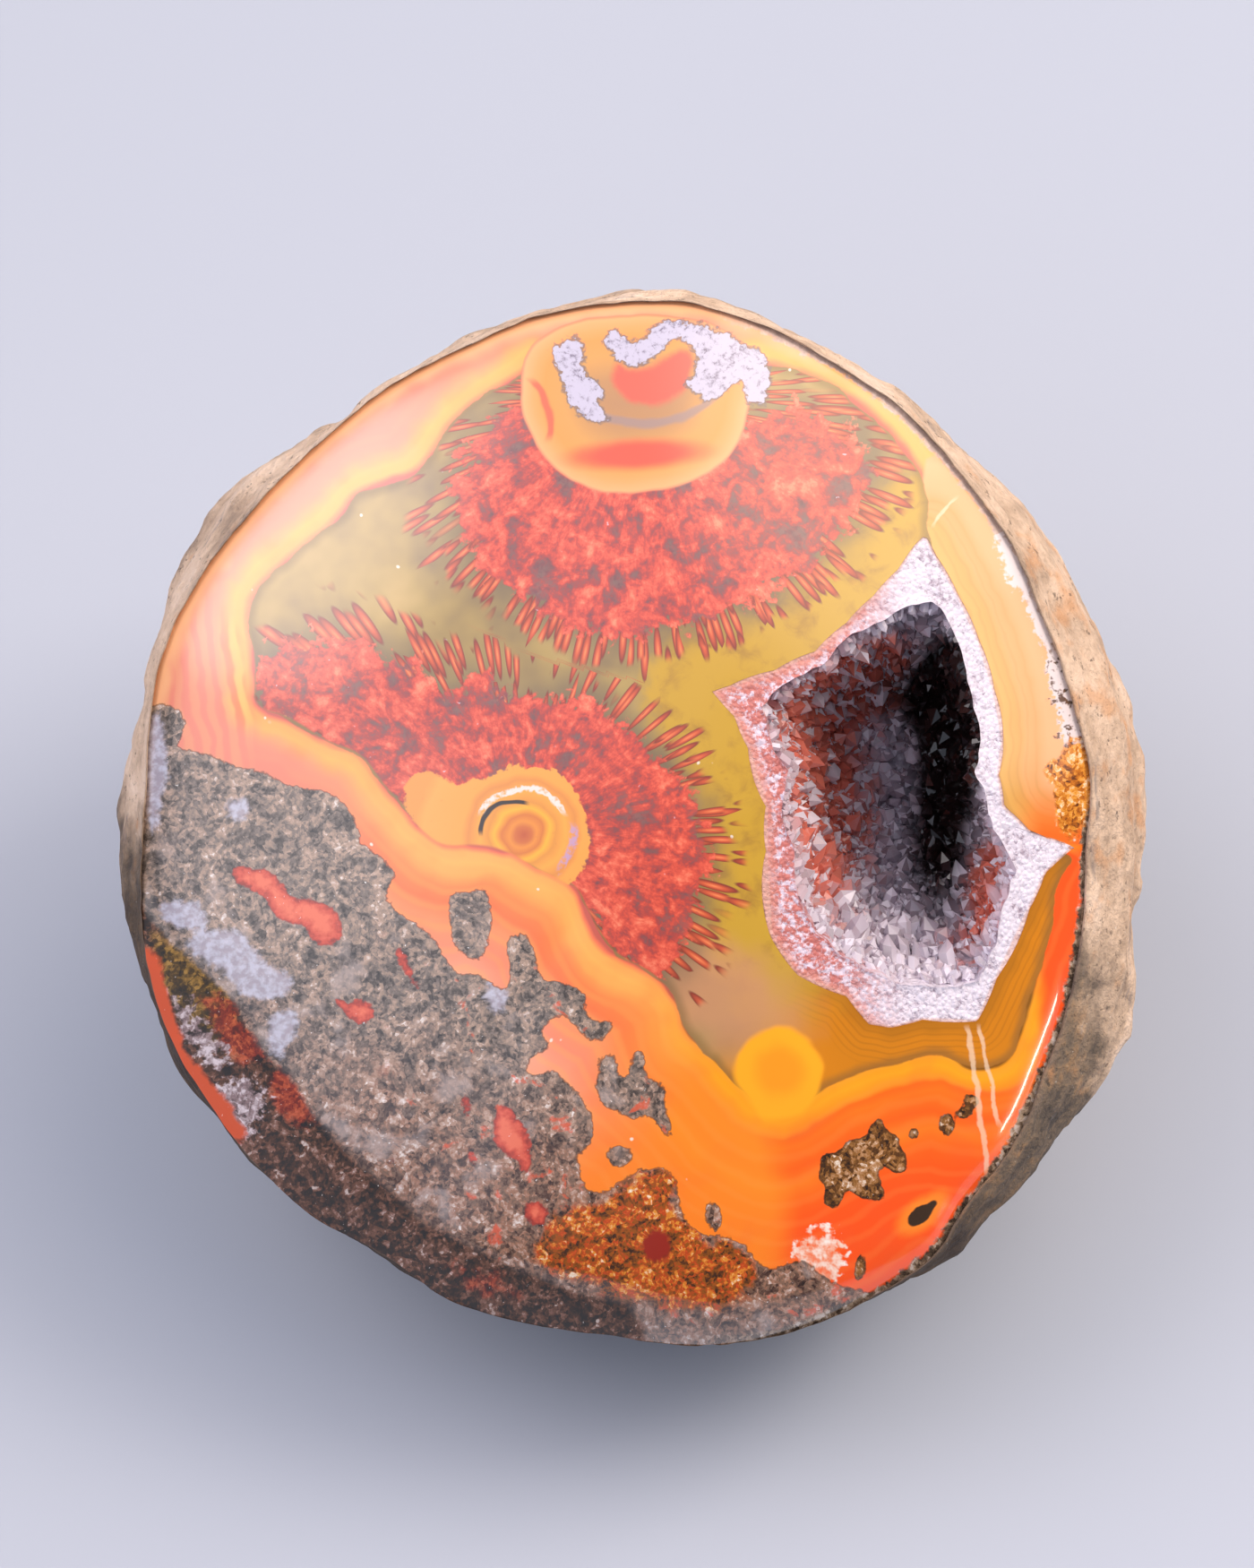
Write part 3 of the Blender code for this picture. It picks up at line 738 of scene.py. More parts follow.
# Soft patches of the hollow: strength, picture point and two radii in millimetres
RUST = (
    (1.2, (905, 900), (6.5, 12.0)), (1.1, (1108, 995), (3.2, 6.0)), (1.0, (950, 745), (8.5, 4.5)),
    (0.4, (1060, 1060), (3.0, 3.0)),
)
# Painted shade: soft patches where the hollow lies deep in shade, which darken its quartz towards black
HOLLOW_SHADE = (
    (1.2, (1068, 790), (4.6, 9.5)), (0.5, (960, 775), (9.0, 3.6)), (0.8, (1046, 960), (4.2, 8.5)),
)

# Numbers that every piece shares
FAR = 20.0                # a distance that stands for nowhere near, in millimetres
RIND_FULL = 0.0015        # behind the rim, where the rind's grain has its full height
SEAM_OVERLAP = 0.0001     # how far the crust reaches into the agate at its edge
SEAM_DROP = 0.00005       # and how far below the face it does so
TIP_CLEARANCE = 0.0004    # crystal tips stay this far below the polished face
LEAST_BAND = 0.0006       # the crust's cut edge is at least this wide
BANDED = ("ribbon", "fan", "peach_edge", "right_band")
CLEAR = ("clear", "flecks", "plume")
FACE_ZONES = (            # the face's materials: each one's name and its pattern's layers
    ("mossy_agate", CLEAR),
    ("matrix", ("matrix",)),
    ("dark_lip", ("matrix", "lip", "edge")),
    ("banded_agate", (*BANDED, "crystals", "cracks", "edge")),
    ("agate_edge", (*BANDED, *CLEAR, "matrix", "edge")),
    ("whole_pattern", (*BANDED, *CLEAR, "top_eye", "middle_eye", "crystals", "cracks", "matrix",
                       "lip", "edge")),
)

# The stone's flat map: the middle and the radius of each part's disc
BAKE_MAP = "OFBake"
FACE_DISC = (0.37, 0.37, 0.36)
BACK_DISC = (0.765, 0.765, 0.225)
HOLLOW_DISC = (0.90, 0.20, 0.09)
FACE_FILL = 0.985


def rind_rows(look, angles, ragged):
    """Rings of the rind from just past the rim to near the back, with their ring numbers."""
    side = np.linspace(0.0, 1.0, look.side_rows + 1)[1:] ** 1.4
    back = np.linspace(0.0, 1.0, look.back_rows + 2)[1:-1]
    rings = np.concatenate((
        RIM_RING + (WAIST_RING - RIM_RING) * side,
        WAIST_RING + (SOLID_RINGS - WAIST_RING) * back,
    ))
    ring, angle = np.meshgrid(rings, angles, indexing="ij")
    smooth = np.stack(skin_point(ring, angle), axis=-1)
    outward = unit(smooth - (*MIDDLE, RIM_LEVEL))
    depth = rim_level(angle) - smooth[..., 2]
    reach = np.minimum(1.0, depth / RIND_FULL)
    rise = solid_rise(rings, angles) + ragged * np.exp(-depth / RIND_FULL)
    grain = rough(smooth, RIND_GRAIN, 11, 0.5)
    pits = np.maximum(0.0, lumps(smooth, PIT_SIZE, 13) - PIT_LEVEL)
    layers = lumps(smooth * LAYER_STRETCH + LAYER_WAVE * grain[..., None], LAYER_SIZE, 14)
    rise += reach * look.grain_height * (grain + 0.7 * layers - 2.0 * pits)
    return smooth + outward * rise[..., None], depth


def stone_shape(look):
    """The whole stone as one closed grid: hollow, polished face, then rind.

    Its columns run from the hollow's floor up the wall, over the face to an even place on
    the rim, and round the rind to the back.
    """
    angles = even_angles(RIM, look.columns)
    reach = between(angles, RIM)
    rim = np.stack((*swung(MIDDLE, reach, angles), rim_level(angles)), axis=-1)
    ragged = look.rim_raggedness * rough(rim, RIM_WEAR, 21)
    turned, reach = bearing(HOLLOW, *swung(MIDDLE, reach + ragged, angles))
    mouth = between(turned, HOLLOW_RIM)
    down = np.linspace(1.0, 0.0, look.hollow_rows + 1)[1:, None]
    wall = np.stack(hollow_wall(turned[None, :], down), axis=-1)

    part = np.linspace(0.0, 1.0, look.face_rows + 1)[1:, None]
    u, v = swung(HOLLOW, mouth + (reach - mouth) * part, turned)
    face = np.stack((u, v, face_level(u, v)), axis=-1)

    rind, depth = rind_rows(look, angles, ragged)
    return wall, face, rind, depth


def disc_map(rows, columns, disc, inward):
    """A place in the flat map for each point of a grid: rings of a disc."""
    way = np.linspace(1.0, 0.0, rows) if inward else np.linspace(0.0, 1.0, rows)
    turn = np.arange(columns) / columns * math.tau
    return np.stack(swung(disc, disc[2] * way[:, None], turn), axis=-1)


def map_corners(flat):
    """The flat map's places at the corners of a grid's faces."""
    after = np.roll(flat, -1, axis=1)
    return np.stack((flat[:-1], after[:-1], after[1:], flat[1:]), axis=2).reshape(-1, 4, 2)


def disc_fan(disc, columns, rings):
    """Places in the flat map for the small triangles round a pole."""
    turn = np.arange(columns) / columns * math.tau
    ring = np.stack(swung(disc, disc[2] / rings * 0.5, turn), axis=-1)
    pole = np.broadcast_to(disc[:2], ring.shape)
    return np.stack((pole, np.roll(ring, -1, axis=0), ring), axis=1)


def map_stone(mesh, plan, mouth_row, rim_row, turned):
    """Lay the stone out flat in three discs: the hollow, the face as it is seen, and the rind."""
    rows, columns = plan.shape[:2]
    face = plan[mouth_row:rim_row + 1, :, :2] - pattern_place(FACE_MIDDLE)
    face *= FACE_DISC[2] * FACE_FILL * 2.0 / (1000.0 * FACE_WIDTH)
    parts = (
        map_corners(disc_map(mouth_row + 1, columns, HOLLOW_DISC, inward=False)),
        map_corners(FACE_DISC[:2] + face),
        map_corners(disc_map(rows - rim_row, columns, BACK_DISC, inward=True)),
        disc_fan(HOLLOW_DISC, columns, mouth_row + 1),
        disc_fan(BACK_DISC, columns, rows),
    )
    flat = [(part[:, ::-1] if turned else part).reshape(-1, 2) for part in parts]
    layer = mesh.uv_layers.new(name=BAKE_MAP)
    layer.uv.foreach_set("vector", np.concatenate(flat).astype(np.float32).ravel())


def ellipse_depth(places, *ellipses):
    """Depth inside the nearest of some ellipses, in millimetres, about 0 at its edge."""
    found = np.full(len(places), -FAR)
    for pixel, radii, turn in ellipses:
        x, y = (places - pattern_place(pixel)).T
        cosine, sine = math.cos(math.radians(turn)), math.sin(math.radians(turn))
        along = (x * cosine + y * sine) / radii[0]
        across = (y * cosine - x * sine) / radii[1]
        found = np.maximum(found, (1.0 - np.hypot(along, across)) * min(radii))
    return found


def stroke_depth(places, *strokes):
    """Depth inside the nearest of some straight strokes with round ends, in millimetres."""
    found = np.full(len(places), -FAR)
    for start, end, width in strokes:
        a, b = pattern_place(start), pattern_place(end)
        part = np.clip((places - a) @ (b - a) / ((b - a) @ (b - a)), 0.0, 1.0)
        away = np.linalg.norm(places - (a + part[:, None] * (b - a)), axis=-1)
        found = np.maximum(found, width / 2.0 - away)
    return found


def fibres(places, top, middle):
    """Way round and way out from the middle of the nearer plume, in millimetres."""
    made = np.zeros((len(places), 3))
    for chosen, pixel, reach, seam in ((top >= middle, (715, 440), 18.0, -90.0),
                                       (top < middle, (583, 930), 15.0, 40.0)):
        x, y = (places - pattern_place(pixel)).T
        turn = math.radians(seam)
        around = np.arctan2(y * math.cos(turn) - x * math.sin(turn),
                            x * math.cos(turn) + y * math.sin(turn))
        made[chosen, 0] = (around * reach)[chosen]
        made[chosen, 1] = np.hypot(x, y)[chosen]
    return made


def face_distances(places):
    """The distances that the face's pattern is drawn from, by name, in millimetres."""
    found = {name: united(places, outlines, passes)
             for name, (passes, *outlines) in OUTLINES.items()}
    found |= {name: ellipse_depth(places, *shapes) for name, shapes in ELLIPSES.items()}
    found |= {name: stroke_depth(places, *shapes) for name, shapes in STROKES.items()}
    found["mouth"] = -inside_distance(places, HOLLOW_MOUTH)
    found["crystals"] = np.maximum(found["crystals"], found.pop("specks"))
    plumes = found.pop("top_plume"), found.pop("middle_plume")
    return {**found, "plume": np.maximum(*plumes), "fibre": fibres(places, *plumes)}


def face_zones(depths, columns):
    """For each quad of the face, the first zone with every layer that may show in it."""
    agate = (depths["matrix"] < 1.0) & (depths["lip"] < 2.0)
    clear = agate & (depths["clear"] > -1.6)
    near = {
        "ribbon": agate & (depths["clear"] < 1.6),
        "right_band": agate & (depths["band"] > -1.2),
        "fan": agate & (depths["fan"] > -2.8),
        "clear": clear,
        "plume": clear & (depths["plume"] > -6.5),
        "top_eye": (depths["top_eye"] > -0.9) | (depths["white"] > -1.4),
        "middle_eye": depths["middle_eye"] > -1.8,
        "crystals": (depths["crystals"] > -0.8) | (depths["hole"] > -1.8),
        "cracks": (depths["broken"] > -3.5) | (depths["crack"] > -1.6),
        "matrix": (depths["matrix"] > -1.2) & (depths["lip"] < 2.0),
        "lip": depths["lip"] > -2.0,
        "edge": (depths["rim"] < 2.2) | (depths["druse"] > -1.8) | (depths["honey"] > -1.4),
    }
    zone = np.full(len(depths["rim"]) - columns, len(FACE_ZONES) - 1)
    for number, (_, layers) in reversed(list(enumerate(FACE_ZONES[:-1]))):
        beyond = np.any([near[name] for name in near if name not in layers], axis=0)
        beyond = beyond.reshape(-1, columns)
        beyond = beyond | np.roll(beyond, -1, axis=1)
        zone[~(beyond[:-1] | beyond[1:]).ravel()] = number
    return zone


def build_stone(look):
    """The stone's mesh, its flat map and what its materials read from it."""
    wall, face, rind, depth = stone_shape(look)
    grid = np.concatenate((wall, face, rind))
    world = to_world(*np.moveaxis(grid, -1, 0))
    floor = to_world(*(np.asarray(x) for x in hollow_wall(np.zeros(()), np.ones(()))))
    back = to_world(*skin_point(np.array(float(SOLID_RINGS)), np.zeros(())))
    world[..., 2] = np.maximum(world[..., 2], 0.0)
    back[2] = max(back[2], 0.0)
    points, quads, first, last = closed_grid(floor, world, back)
    faces = turned_out(points, [quads, first, last])
    piece = new_piece("agate_stone", points, faces)
    mesh = piece.data

    rows, columns = grid.shape[:2]
    mouth_row, rim_row = len(wall) - 1, len(wall) + len(face) - 1
    plan = np.zeros((rows, columns, 3))
    plan[:rim_row + 1, :, :2] = seen_from_camera(grid[:rim_row + 1])
    plan[rim_row + 1:, :, :2] = plan[rim_row, :, :2]
    plan[rim_row + 1:, :, 2] = 1000.0 * depth
    poles = plan[0].mean(axis=0)[None], plan[-1].mean(axis=0)[None]
    note(mesh, "plan", np.concatenate((poles[0], plan.reshape(-1, 3), poles[1])))
    places = plan[mouth_row:rim_row + 1, :, :2].reshape(-1, 2)
    start = 1 + mouth_row * columns
    depths = face_distances(places)
    for name, values in depths.items():
        everywhere = np.full((len(points), *values.shape[1:]), -FAR)
        everywhere[start:start + len(places)] = values
        note(mesh, name, everywhere)

    map_stone(mesh, plan, mouth_row, rim_row, turned=faces[0][0, 0] != quads[0, 0])
    material = np.full(len(mesh.polygons), len(FACE_ZONES), np.int32)
    material[:mouth_row * columns] = 0
    material[mouth_row * columns:rim_row * columns] = face_zones(depths, columns)
    mesh.polygons.foreach_set("material_index", material)
    mark_sharp(mesh, columns, mouth_row, rim_row)
    return piece


def soft_patches(places, patches):
    """How deep in soft patches places are, from 0 to 1: e to minus the distance squared."""
    made = [strength * np.exp(-(((places - pattern_place(pixel)) / radii) ** 2).sum(axis=-1))
            for strength, pixel, radii in patches]
    return np.clip(sum(made), 0.0, 1.0)


def note_quartz(mesh, shape):
    """Keep how rusty the quartz is, how much painted shade it lies in, and its depth under the face in
    millimetres.
    """
    places = seen_from_camera(shape)
    note(mesh, "rust", soft_patches(places, RUST))
    note(mesh, "smoke", soft_patches(places, HOLLOW_SHADE))
    note(mesh, "deep", 1000.0 * (face_level(shape[:, 0], shape[:, 1]) - shape[:, 2]))


def build_crust(look):
    """The quartz crust as one closed grid: up its inner wall, over its band, down its back."""
    angles = even_angles(HOLLOW_RIM, look.columns)
    inner = between(angles, CRUST_RIM)
    edge = np.stack((*swung((0.0, 0.0), inner, angles), 0.0 * inner), axis=-1)
    outer = between(angles, HOLLOW_RIM)
    inner = np.minimum(inner + look.mouth_jag * rough(edge, JAGS, 31), outer - LEAST_BAND)

    down = np.linspace(1.0, 0.0, look.wall_rows + 1)[1:, None]
    wall = np.stack(crust_wall(angles[None, :], down, inner[None, :]), axis=-1)
    rise = look.wall_roughness * rough(wall, WALL_LUMPS, 33, 0.7) * np.minimum(1.0, 6.0 * down)
    wall += unit(HOLLOW_HEART - wall) * rise[..., None]

    part = np.linspace(0.0, 1.0, look.band_rows + 1)[1:, None]
    u, v = swung(HOLLOW, inner + (outer + SEAM_OVERLAP - inner) * part, angles)
    band = np.stack((u, v, face_level(u, v) - SEAM_DROP), axis=-1)
    pits = sum(np.abs(lumps(band, size, seed)) for size, seed in zip(SUGAR_PITS, (35, 36)))
    band[..., 2] -= look.band_pitting * pits * (1.0 - part**4)

    part = np.linspace(0.0, 1.0, look.back_rows + 2)[1:-1, None]
    behind = np.stack(hollow_wall(angles[None, :], part, -SEAM_OVERLAP), axis=-1)
    grid = np.concatenate((wall, band, behind))
    floor = np.stack(crust_wall(np.zeros(()), np.ones(())))
    back = np.stack(hollow_wall(np.zeros(()), np.ones(()), -SEAM_OVERLAP))
    shape, quads, first, last = closed_grid(floor, grid, back)
    points = to_world(*shape.T)
    piece = new_piece("quartz_crust", points, turned_out(points, [quads, first, last]))
    note_quartz(piece.data, shape)
    note(piece.data, "edge", -inside_distance(seen_from_camera(shape), HOLLOW_MOUTH))
    mark_sharp(piece.data, look.columns, len(wall) - 1)
    return piece


def crystal_group(draw, count, widths, lengths, reach, lean):
    """Six-sided crystals on the crust's wall: points, faces and a tone for each.

    A crystal is a prism with a pointed end. Its shoulder's points stand at uneven
    heights and its tip is off its axis, so its end faces are of uneven size.
    """
    angle = draw.uniform(0.0, math.tau, count)
    down = reach[0] + (reach[1] - reach[0]) * draw.uniform(0.0, 1.0, count) ** 0.85
    base = np.stack(crust_wall(angle, down), axis=-1)
    axis = unit(unit(HOLLOW_HEART - base) + lean * draw.normal(0.0, 1.0, (count, 3)))
    side = unit(np.cross(axis, draw.normal(0.0, 1.0, (count, 3))))
    across = np.cross(axis, side)
    width = widths[0] + (widths[1] - widths[0]) * draw.uniform(0.0, 1.0, count) ** 2
    length = width * draw.uniform(*lengths, count)
    squash = draw.uniform(FLATTEST, 1.0, count)

    turn = np.arange(6) / 6.0 * math.tau
    ring_x = np.cos(turn) * width[:, None] / 2.0
    ring_y = np.sin(turn) * width[:, None] / 2.0 * squash[:, None]
    uneven = SHOULDER_VARIES * draw.uniform(-1.0, 1.0, (count, 6))
    shoulder = length[:, None] * (SHOULDER_PART + uneven)
    tip = draw.uniform(-TIP_VARIES, TIP_VARIES, (count, 2)) * width[:, None]
    x = np.concatenate((ring_x, ring_x, tip[:, :1]), axis=1)
    y = np.concatenate((ring_y, ring_y, tip[:, 1:]), axis=1)
    root = -ROOT_PART * length[:, None] * np.ones((1, 6))
    z = np.concatenate((root, shoulder, length[:, None]), axis=1)
    points = (base[:, None] + x[..., None] * side[:, None] + y[..., None] * across[:, None]
              + z[..., None] * axis[:, None])
    under = face_level(points[..., 0], points[..., 1]) - points[..., 2]
    points = points[(under > TIP_CLEARANCE).all(axis=1)]
    tone = np.repeat(draw.uniform(0.0, 1.0, len(points)), 13)

    start = 13 * np.arange(len(points))[:, None]
    here = np.arange(6)
    after = (here + 1) % 6
    sides = np.stack((here, after, after + 6, here + 6), axis=1)
    ends = np.stack((here + 6, after + 6, np.full(6, 12)), axis=1)
    faces = [
        (start + here[::-1]),
        (start[:, None] + sides).reshape(-1, 4),
        (start[:, None] + ends).reshape(-1, 3),
    ]
    return points.reshape(-1, 3), faces, tone


def build_crystals(look):
    """All the crystals in the hollow: a few large ones and many small ones, as one mesh."""
    draw = np.random.default_rng(look.seed)
    widths = (look.crystal_width * NARROWEST, look.crystal_width)
    groups = [
        crystal_group(draw, look.crystals, widths, *LARGE_HABIT),
        crystal_group(draw, look.grains, SMALL_WIDTHS, *SMALL_HABIT),
    ]
    shape = np.concatenate([points for points, _, _ in groups])
    shift = np.cumsum([0] + [len(points) for points, _, _ in groups])
    faces = [each + by for (_, made, _), by in zip(groups, shift) for each in made]
    points = to_world(*shape.T)
    piece = new_piece("quartz_crystals", points, faces, smooth=False)
    note_quartz(piece.data, shape)
    note(piece.data, "tone", np.concatenate([tone for _, _, tone in groups]))
    # A random value for each face, from which the material paints faces lighter or darker: painted
    # glints and shade on the facets
    facet = draw.uniform(0.0, 1.0, len(piece.data.polygons))
    piece.data.attributes.new("facet", "FLOAT", "FACE").data.foreach_set("value", facet)
    return piece


def tint(red, green, blue):
    """A colour by its red, green and blue as they look, from 0 to 255, as linear light."""
    seen = np.array((red, green, blue)) / 255.0
    linear = np.where(seen <= 0.04045, seen / 12.92, ((seen + 0.055) / 1.055) ** 2.4)
    return tuple(float(part) for part in linear)


class Signal:
    """A value in a node tree. Sums and products of signals place the nodes for them."""

    def __init__(self, paint, socket):
        self.paint = paint
        self.socket = socket

    def __add__(self, other):
        return self.paint.math("ADD", self, other)

    def __sub__(self, other):
        return self.paint.math("SUBTRACT", self, other)

    def __rsub__(self, other):
        return self.paint.math("SUBTRACT", other, self)

    def __mul__(self, other):
        return self.paint.math("MULTIPLY", self, other)

    def __abs__(self):
        return self.paint.math("ABSOLUTE", self)

    def other(self, out):
        """Another output of the node that the signal comes from."""
        return Signal(self.paint, self.socket.node.outputs[out])

    __radd__ = __add__
    __rmul__ = __mul__


class Painter:
    """Places nodes in a tree. Each method gives the signal that its last node puts out."""

    def __init__(self, tree):
        self.tree = tree

    def add(self, kind, values=(), out=0, **settings):
        """One node with its inputs fed and its settings set."""
        node = self.tree.nodes.new(kind)
        column, row = divmod(len(self.tree.nodes), 12)
        node.location = (180.0 * column, -160.0 * row)
        for name, value in settings.items():
            setattr(node, name, value)
        for key, value in dict(values).items():
            self.feed(node.inputs[key], value)
        return Signal(self, node.outputs[out])

    def feed(self, socket, value):
        """Give a socket a signal, a colour or a plain value."""
        if isinstance(value, Signal):
            self.tree.links.new(value.socket, socket)
        elif socket.type == "RGBA":
            socket.default_value = (*tuple(value)[:3], 1.0)
        else:
            socket.default_value = value

    def math(self, operation, first, second=0.0, third=0.0):
        """Arithmetic on up to three signals or numbers."""
        return self.add("ShaderNodeMath", {0: first, 1: second, 2: third}, operation=operation)

    def step(self, signal, low, high):
        """0 below low, 1 above high and an eased way between. Low may lie above high."""
        values = {0: signal, 1: low, 2: high, 3: 0.0, 4: 1.0}
        return self.add("ShaderNodeMapRange", values, interpolation_type="SMOOTHSTEP")

    def over(self, under, over, mask):
        """One colour laid over another where the mask is 1."""
        return self.add("ShaderNodeMix", {0: mask, 6: under, 7: over}, out=2, data_type="RGBA")

    def lay(self, under, seen, signal, low, high, strength=1.0):
        """A colour, as it looks, laid over another where a signal goes from low to high."""
        mask = self.step(signal, low, high)
        return self.over(under, tint(*seen), mask if strength == 1.0 else mask * strength)

    def blend(self, under, over, mask):
        """One number taken instead of another where the mask is 1."""
        return self.add("ShaderNodeMix", {0: mask, 2: under, 3: over}, data_type="FLOAT")

    def palette(self, signal, stops):
        """Colours along a signal from 0 to 1: each stop is a place, red, green and blue."""
        made = self.add("ShaderNodeValToRGB", {0: signal})
        ramp = made.socket.node.color_ramp
        while len(ramp.elements) < len(stops):
            ramp.elements.new(1.0)
        for element, (place, *colour) in zip(ramp.elements, stops):
            element.position = place
            element.color = (*tint(*colour), 1.0)
        return made

    def read(self, name, kind="Fac"):
        """A value that the mesh keeps for each of its points."""
        return self.add("ShaderNodeAttribute", out=kind, attribute_name=name)

    def parts(self, vector):
        """The three parts of a vector."""
        first = self.add("ShaderNodeSeparateXYZ", {0: vector})
        return first, first.other(1), first.other(2)

    def vector(self, x, y, z=0.0):
        """A vector from its three parts."""
        return self.add("ShaderNodeCombineXYZ", {0: x, 1: y, 2: z})

    def scaled(self, where, factors):
        """A place whose lengths are each multiplied by a factor."""
        return self.add("ShaderNodeVectorMath", {0: where, 1: factors}, operation="MULTIPLY")

    def noise(self, where, size, detail=2.0, rough=0.5, twist=0.0):
        """Cloudy noise about 0, mostly from -1 to 1, with clouds of a size in millimetres."""
        values = {"Vector": where, "Scale": 1.0 / size, "Detail": detail, "Roughness": rough}
        made = self.add("ShaderNodeTexNoise", {**values, "Distortion": twist})
        return self.math("MULTIPLY_ADD", made, 3.0, -1.5)

    def cells(self, where, size, jitter=1.0, flat=False):
        """Random cells of a size: the distance from a cell's middle, and two numbers for each."""
        values = {"Vector": where, "Scale": 1.0 / size, "Randomness": jitter}
        distance = self.add("ShaderNodeTexVoronoi", values,
                            voronoi_dimensions="2D" if flat else "3D")
        drawn = self.add("ShaderNodeSeparateColor", {0: distance.other("Color")})
        return distance, drawn, drawn.other(1)

    def wandering(self, x, y, where, size, amount):
        """The parts of a place shifted this way and that, as noise of a size goes."""
        cloud = self.add("ShaderNodeTexNoise", {"Vector": where, "Scale": 1.0 / size}, out=1)
        first = self.add("ShaderNodeSeparateColor", {0: cloud})
        shift = -amount / 2.0
        moved_x = self.math("MULTIPLY_ADD", first, amount, shift) + x
        return moved_x, self.math("MULTIPLY_ADD", first.other(1), amount, shift) + y

    def group(self, name, values, out=0):
        """A node group placed in the tree, with its own values."""
        return self.add("ShaderNodeGroup", values, out, node_tree=bpy.data.node_groups[name])

    def put_out(self, **signals):
        """Make the outputs of a group, each named and fed."""
        kinds = {"RGBA": "NodeSocketColor", "VALUE": "NodeSocketFloat", "VECTOR": "NodeSocketVector"}
        for label, signal in signals.items():
            self.tree.interface.new_socket(label, in_out="OUTPUT",
                                           socket_type=kinds[signal.socket.type])
        target = self.tree.nodes.new("NodeGroupOutput")
        for label, signal in signals.items():
            self.feed(target.inputs[label], signal)


def shader_group(name, inputs):
    """An empty node group: its painter and its named inputs.

    Each input has a default, which is a number, a colour or, for a place, None.
    """
    tree = bpy.data.node_groups.new(removed(bpy.data.node_groups, name), "ShaderNodeTree")
    for label, default in inputs.items():
        kind = "Vector" if default is None else "Float" if isinstance(default, float) else "Color"
        socket = tree.interface.new_socket(label, in_out="INPUT", socket_type="NodeSocket" + kind)
        if default is not None:
            socket.default_value = default
    paint = Painter(tree)
    source = tree.nodes.new("NodeGroupInput")
    return paint, {label: Signal(paint, source.outputs[label]) for label in inputs}


QUARTZ_TONES = {"Light": (0.9, 0.85, 0.9, 1.0), "Shade": (0.4, 0.35, 0.42, 1.0)}


def grain_group():
    """Mineral grains: a random tone for each, its height, and the few that glint."""
    paint, given = shader_group("mineral grains", {"Place": None, "Grain Size": 0.5})
    by_size = paint.math("DIVIDE", 1.0, given["Grain Size"])
    place = paint.add("ShaderNodeVectorMath", {0: given["Place"], "Scale": by_size},
                      operation="SCALE")
    distance, tone, other = paint.cells(place, 1.0)
    small, small_tone, _ = paint.cells(place, 0.37)
    cloud = paint.noise(place, 1.4, detail=4.0, rough=0.78)
    speck = paint.noise(place, 0.42, detail=2.0, rough=0.7)
    sparse = paint.step(other, 0.55, 0.7)
    paint.put_out(
        Tone=tone * 0.28 + small_tone * 0.32 + cloud * 0.32 + 0.2,
        Height=1.0 - distance - small * 0.4,
        Glint=sparse * paint.step(speck, 0.52, 0.74),
    )


def sugar_group():
    """Sugary white quartz: a lilac white, with grey painted shade in its fine pits."""
    paint, given = shader_group("sugary quartz", {"Place": None, **QUARTZ_TONES})
    distance, tone, _ = paint.cells(given["Place"], 0.45)
    fine = paint.noise(given["Place"], 0.5, detail=3.0, rough=0.7)
    cloud = paint.noise(given["Place"], 2.2)
    shade = paint.step(fine * 0.8 + cloud * 0.5 + tone * 0.4, 0.15, 1.0)
    paint.put_out(
        Color=paint.over(given["Light"], given["Shade"], shade),
        Height=1.0 - distance - shade * 0.6,
    )


def quartz_group():
    """Quartz by its place in the hollow: pale at the rim, rusty at the left, and darkened by painted
    shade at the right.
    """
    paint, given = shader_group("hollow quartz", {"Tone": 0.5, **QUARTZ_TONES})
    tone = given["Tone"]
    colour = paint.over(given["Light"], given["Shade"], tone)
    rusty = paint.step(paint.read("rust") * 1.2 - tone * 0.9, 0.0, 0.7)
    colour = paint.over(colour, tint(236, 128, 108), rusty)
    # Painted shade: the quartz turns near black where the hollow lies deep in shade
    painted_shade = paint.step(paint.read("smoke") + tone * 0.2, 0.35, 1.0)
    paint.put_out(Color=paint.over(colour, tint(34, 24, 23), painted_shade))


def new_material(name, **settings):
    """An empty material, its painter and its Principled shader with plain values set."""
    material = bpy.data.materials.new(removed(bpy.data.materials, name))
    material.use_nodes = True
    shader = material.node_tree.nodes["Principled BSDF"]
    for label, value in settings.items():
        shader.inputs[label.replace("_", " ")].default_value = value
    return material, Painter(material.node_tree), shader


def object_place(paint):
    """A place on the piece, in millimetres."""
    made = paint.add("ShaderNodeTexCoord", out="Object")
    return paint.scaled(made, (1000.0, 1000.0, 1000.0))


# The noises of the face's pattern: their size in millimetres, detail, roughness and twist
NOISES = {
    "Cloud": (11.0, 1.0, 0.5, 0.0),
    "Broad": (5.0, 2.0, 0.5, 0.0),
    "Coarse": (3.0, 1.0, 0.5, 0.0),
    "Clumps": (2.2, 4.0, 0.62, 0.5),
    "Fine": (0.8, 2.0, 0.6, 0.0),
}


